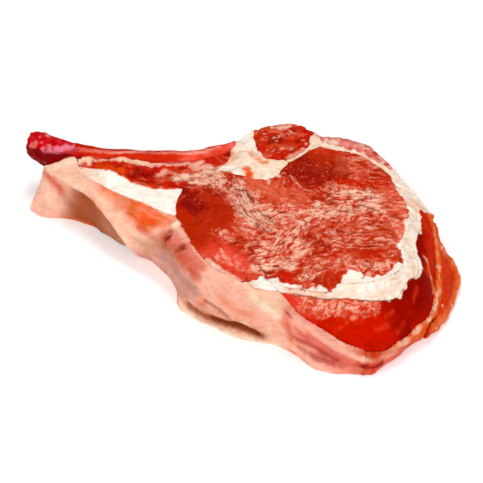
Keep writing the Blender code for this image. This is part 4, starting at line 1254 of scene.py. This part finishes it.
def build_stage(settings):
    low, high = (Vector(corner) for corner in CAD_BOX)
    middle = (low + high) / 2
    build = bmesh.new()
    bmesh.ops.create_grid(build, x_segments=1, y_segments=1, size=FLOOR_REACH)
    mesh = bpy.data.meshes.new("floor")
    build.to_mesh(mesh)
    build.free()
    floor = bpy.data.objects.new("floor", mesh)
    floor.location.z = low.z
    bpy.context.scene.collection.objects.link(floor)
    paper = bpy.data.materials.new("floor_paper")
    paper.use_nodes = True
    shader = paper.node_tree.nodes["Principled BSDF"]
    shader.inputs["Base Color"].default_value = (*settings.floor, 1)
    shader.inputs["Roughness"].default_value = 0.9
    shader.inputs["Specular IOR Level"].default_value = 0.0
    shader.inputs["Emission Color"].default_value = (1, 1, 1, 1)
    shader.inputs["Emission Strength"].default_value = settings.floor_glow
    mesh.materials.append(paper)

    world = bpy.data.worlds.new("surround")
    world.use_nodes = True
    nodes = world.node_tree.nodes
    links = world.node_tree.links
    nodes["Background"].inputs["Color"].default_value = (1, 1, 1, 1)
    toward = nodes.new("ShaderNodeTexCoord")
    parts = nodes.new("ShaderNodeSeparateXYZ")
    links.new(toward.outputs["Generated"], parts.inputs["Vector"])
    fade = nodes.new("ShaderNodeMapRange")
    fade.interpolation_type = "SMOOTHSTEP"
    fade.inputs["From Min"].default_value = SKY_LOW
    fade.inputs["From Max"].default_value = SKY_HIGH
    fade.inputs["To Min"].default_value = settings.surround
    fade.inputs["To Max"].default_value = settings.surround * settings.rear_share
    links.new(parts.outputs["Y"], fade.inputs["Value"])
    links.new(fade.outputs["Result"], nodes["Background"].inputs["Strength"])
    bpy.context.scene.world = world

    for name, size, distance, toward in LIGHTS:
        area_light(name + "_light", getattr(settings, name), size, toward, distance, middle)

    camera = bpy.data.cameras.new("camera")
    camera.lens = LENS
    camera.sensor_width = SENSOR
    holder = bpy.data.objects.new("camera", camera)
    back = Vector((0, -math.cos(settings.elevation), math.sin(settings.elevation)))
    target = Vector((middle.x + AIM_ASIDE[0], middle.y + AIM_ASIDE[1], AIM_HEIGHT))
    holder.location = target + back * settings.distance
    holder.rotation_euler = back.to_track_quat("Z", "Y").to_euler()
    bpy.context.scene.collection.objects.link(holder)
    bpy.context.scene.camera = holder
    bpy.context.scene.view_settings.view_transform = "Standard"


# ---- operators --------------------------------------------------------------------------------

def dress(node, slot, shape, thin=False, lap=0.0, **material):
    """Makes the fine piece that stands for a node, with its relief, paint and finish.

    A thin piece has small cells all over, so that it stays whole. lap is how far its upper edges
    reach over its neighbours, in millimetres.
    """
    scene = bpy.context.scene
    grid = scene.steak_sizes.thin_grid if thin else scene.steak_sizes.grid
    skin = Skin(node, grid, not thin)
    shape(skin, scene.steak_sizes, scene.steak_colours)
    skin.finish(finish_material(node + "_finish", **material), scene.steak_sizes.closing, lap)


class STEAK_OT_eye(bpy.types.Operator):
    """Makes the crinkled eye muscle"""
    bl_idname = "steak.eye"
    bl_label = "Eye muscle"

    def execute(self, context):
        dress("eye_muscle", "eye_muscle", shape_eye, mottle=9, fibre=1.3, dry=0.52, wet=0.26,
              grain=0.45, fibre_height=0.35, soft=0.05)
        return {"FINISHED"}


class STEAK_OT_cap(bpy.types.Operator):
    """Makes the cap muscle, the fat line round it and the dried outer flap"""
    bl_idname = "steak.cap"
    bl_label = "Cap, rim and outer flap"

    def execute(self, context):
        dress("cap_muscle", "smooth_muscle", shape_cap, mottle=12, fibre=2.0, dry=0.6, wet=0.24,
              grain=0.25, fibre_height=0.12, soft=0.05, specular=0.004)
        dress("rim_fat", "skin_fat", shape_rim, thin=True, lap=0.8, mottle=6, fibre=1.5, dry=0.6, wet=0.4,
              grain=0.3, fibre_height=0.15, soft=0.1)
        dress("outer_flap", "dried_muscle", shape_flap, mottle=6, fibre=1.5, dry=0.6, wet=0.3,
              grain=0.5, fibre_height=0.25, soft=0.05)
        return {"FINISHED"}


class STEAK_OT_white_fat(bpy.types.Operator):
    """Makes the white fat: the crumbly seam round the eye and the strip along the tail"""
    bl_idname = "steak.white_fat"
    bl_label = "White fat"

    def execute(self, context):
        dress("seam_fat", "white_fat", shape_seam_fat, thin=True, lap=0.8, mottle=6, fibre=1.8, dry=0.6,
              wet=0.35, grain=0.5, fibre_height=0.15, soft=0.12)
        dress("tail_fat", "white_fat", shape_tail_fat, lap=1.0, mottle=8, fibre=2.0, dry=0.6, wet=0.35,
              grain=0.3, fibre_height=0.15, soft=0.12)
        return {"FINISHED"}


class STEAK_OT_chine(bpy.types.Operator):
    """Makes the fat, cartilage and muscle at the chine, and the flap behind the eye"""
    bl_idname = "steak.chine"
    bl_label = "Chine"

    def execute(self, context):
        dress("chine_fat", "cartilage_fat", shape_chine_fat, lap=1.0, mottle=7, fibre=1.6, dry=0.6, wet=0.35,
              grain=0.4, fibre_height=0.15, soft=0.12)
        dress("chine_muscle", "coarse_muscle", shape_chine_muscle, mottle=8, fibre=1.4, dry=0.5, wet=0.28,
              grain=0.4, fibre_height=0.3, soft=0.05)
        dress("back_flap", "purple_muscle", shape_back_flap, thin=True, mottle=6, fibre=1.5, dry=0.55,
              wet=0.3, grain=0.3, fibre_height=0.2, soft=0.05)
        return {"FINISHED"}


class STEAK_OT_rib(bpy.types.Operator):
    """Makes the rib bone under its bloody skin"""
    bl_idname = "steak.rib"
    bl_label = "Rib bone"

    def execute(self, context):
        dress("rib_bone", "bone", shape_bone, mottle=8, fibre=1.6, dry=0.45, wet=0.22,
              grain=0.25, fibre_height=0.2, soft=0.05, specular=0.025)
        return {"FINISHED"}


class STEAK_OT_tail(bpy.types.Operator):
    """Makes the ragged meat of the tail and the skin and fat of the long side"""
    bl_idname = "steak.tail"
    bl_label = "Tail meat and long side"

    def execute(self, context):
        dress("tail_meat", "ragged_muscle", shape_tail_meat, mottle=7, fibre=1.4, dry=0.5, wet=0.25,
              grain=0.5, fibre_height=0.3, soft=0.05)
        dress("side_fat", "skin_fat", shape_long_side, thin=True, lap=0.7, mottle=14, fibre=2.4, dry=0.6,
              wet=0.38, grain=0.3, fibre_height=0.12, soft=0.12)
        return {"FINISHED"}


class STEAK_OT_stage(bpy.types.Operator):
    """Makes the floor, the lights and the camera"""
    bl_idname = "steak.stage"
    bl_label = "Stage"

    def execute(self, context):
        build_stage(context.scene.steak_stage)
        return {"FINISHED"}


OPERATORS = (STEAK_OT_eye, STEAK_OT_cap, STEAK_OT_white_fat, STEAK_OT_chine, STEAK_OT_rib,
             STEAK_OT_tail, STEAK_OT_stage)


class STEAK_PT_panel(bpy.types.Panel):
    """Buttons that make the steak's pieces one by one"""
    bl_idname = "STEAK_PT_panel"
    bl_label = "Rib steak"
    bl_space_type = "VIEW_3D"
    bl_region_type = "UI"
    bl_category = "Rib steak"

    def draw(self, context):
        for group in (context.scene.steak_sizes, context.scene.steak_colours, context.scene.steak_stage):
            box = self.layout.box()
            for name in group.bl_rna.properties.keys():
                if name not in ("rna_type", "name"):
                    box.prop(group, name)
        for operator in OPERATORS:
            self.layout.operator(operator.bl_idname)


GROUPS = {"steak_sizes": SteakSizes, "steak_colours": SteakColours, "steak_stage": StageSettings}


def register():
    for group in (*GROUPS.values(), *OPERATORS, STEAK_PT_panel):
        bpy.utils.register_class(group)
    for name, group in GROUPS.items():
        setattr(bpy.types.Scene, name, bpy.props.PointerProperty(type=group))


def unregister():
    for name in GROUPS:
        delattr(bpy.types.Scene, name)
    for group in reversed((*GROUPS.values(), *OPERATORS, STEAK_PT_panel)):
        bpy.utils.unregister_class(group)


def main():
    register()
    for operator in OPERATORS:
        family, name = operator.bl_idname.split(".")
        getattr(getattr(bpy.ops, family), name)()


if __name__ == "__main__":
    main()
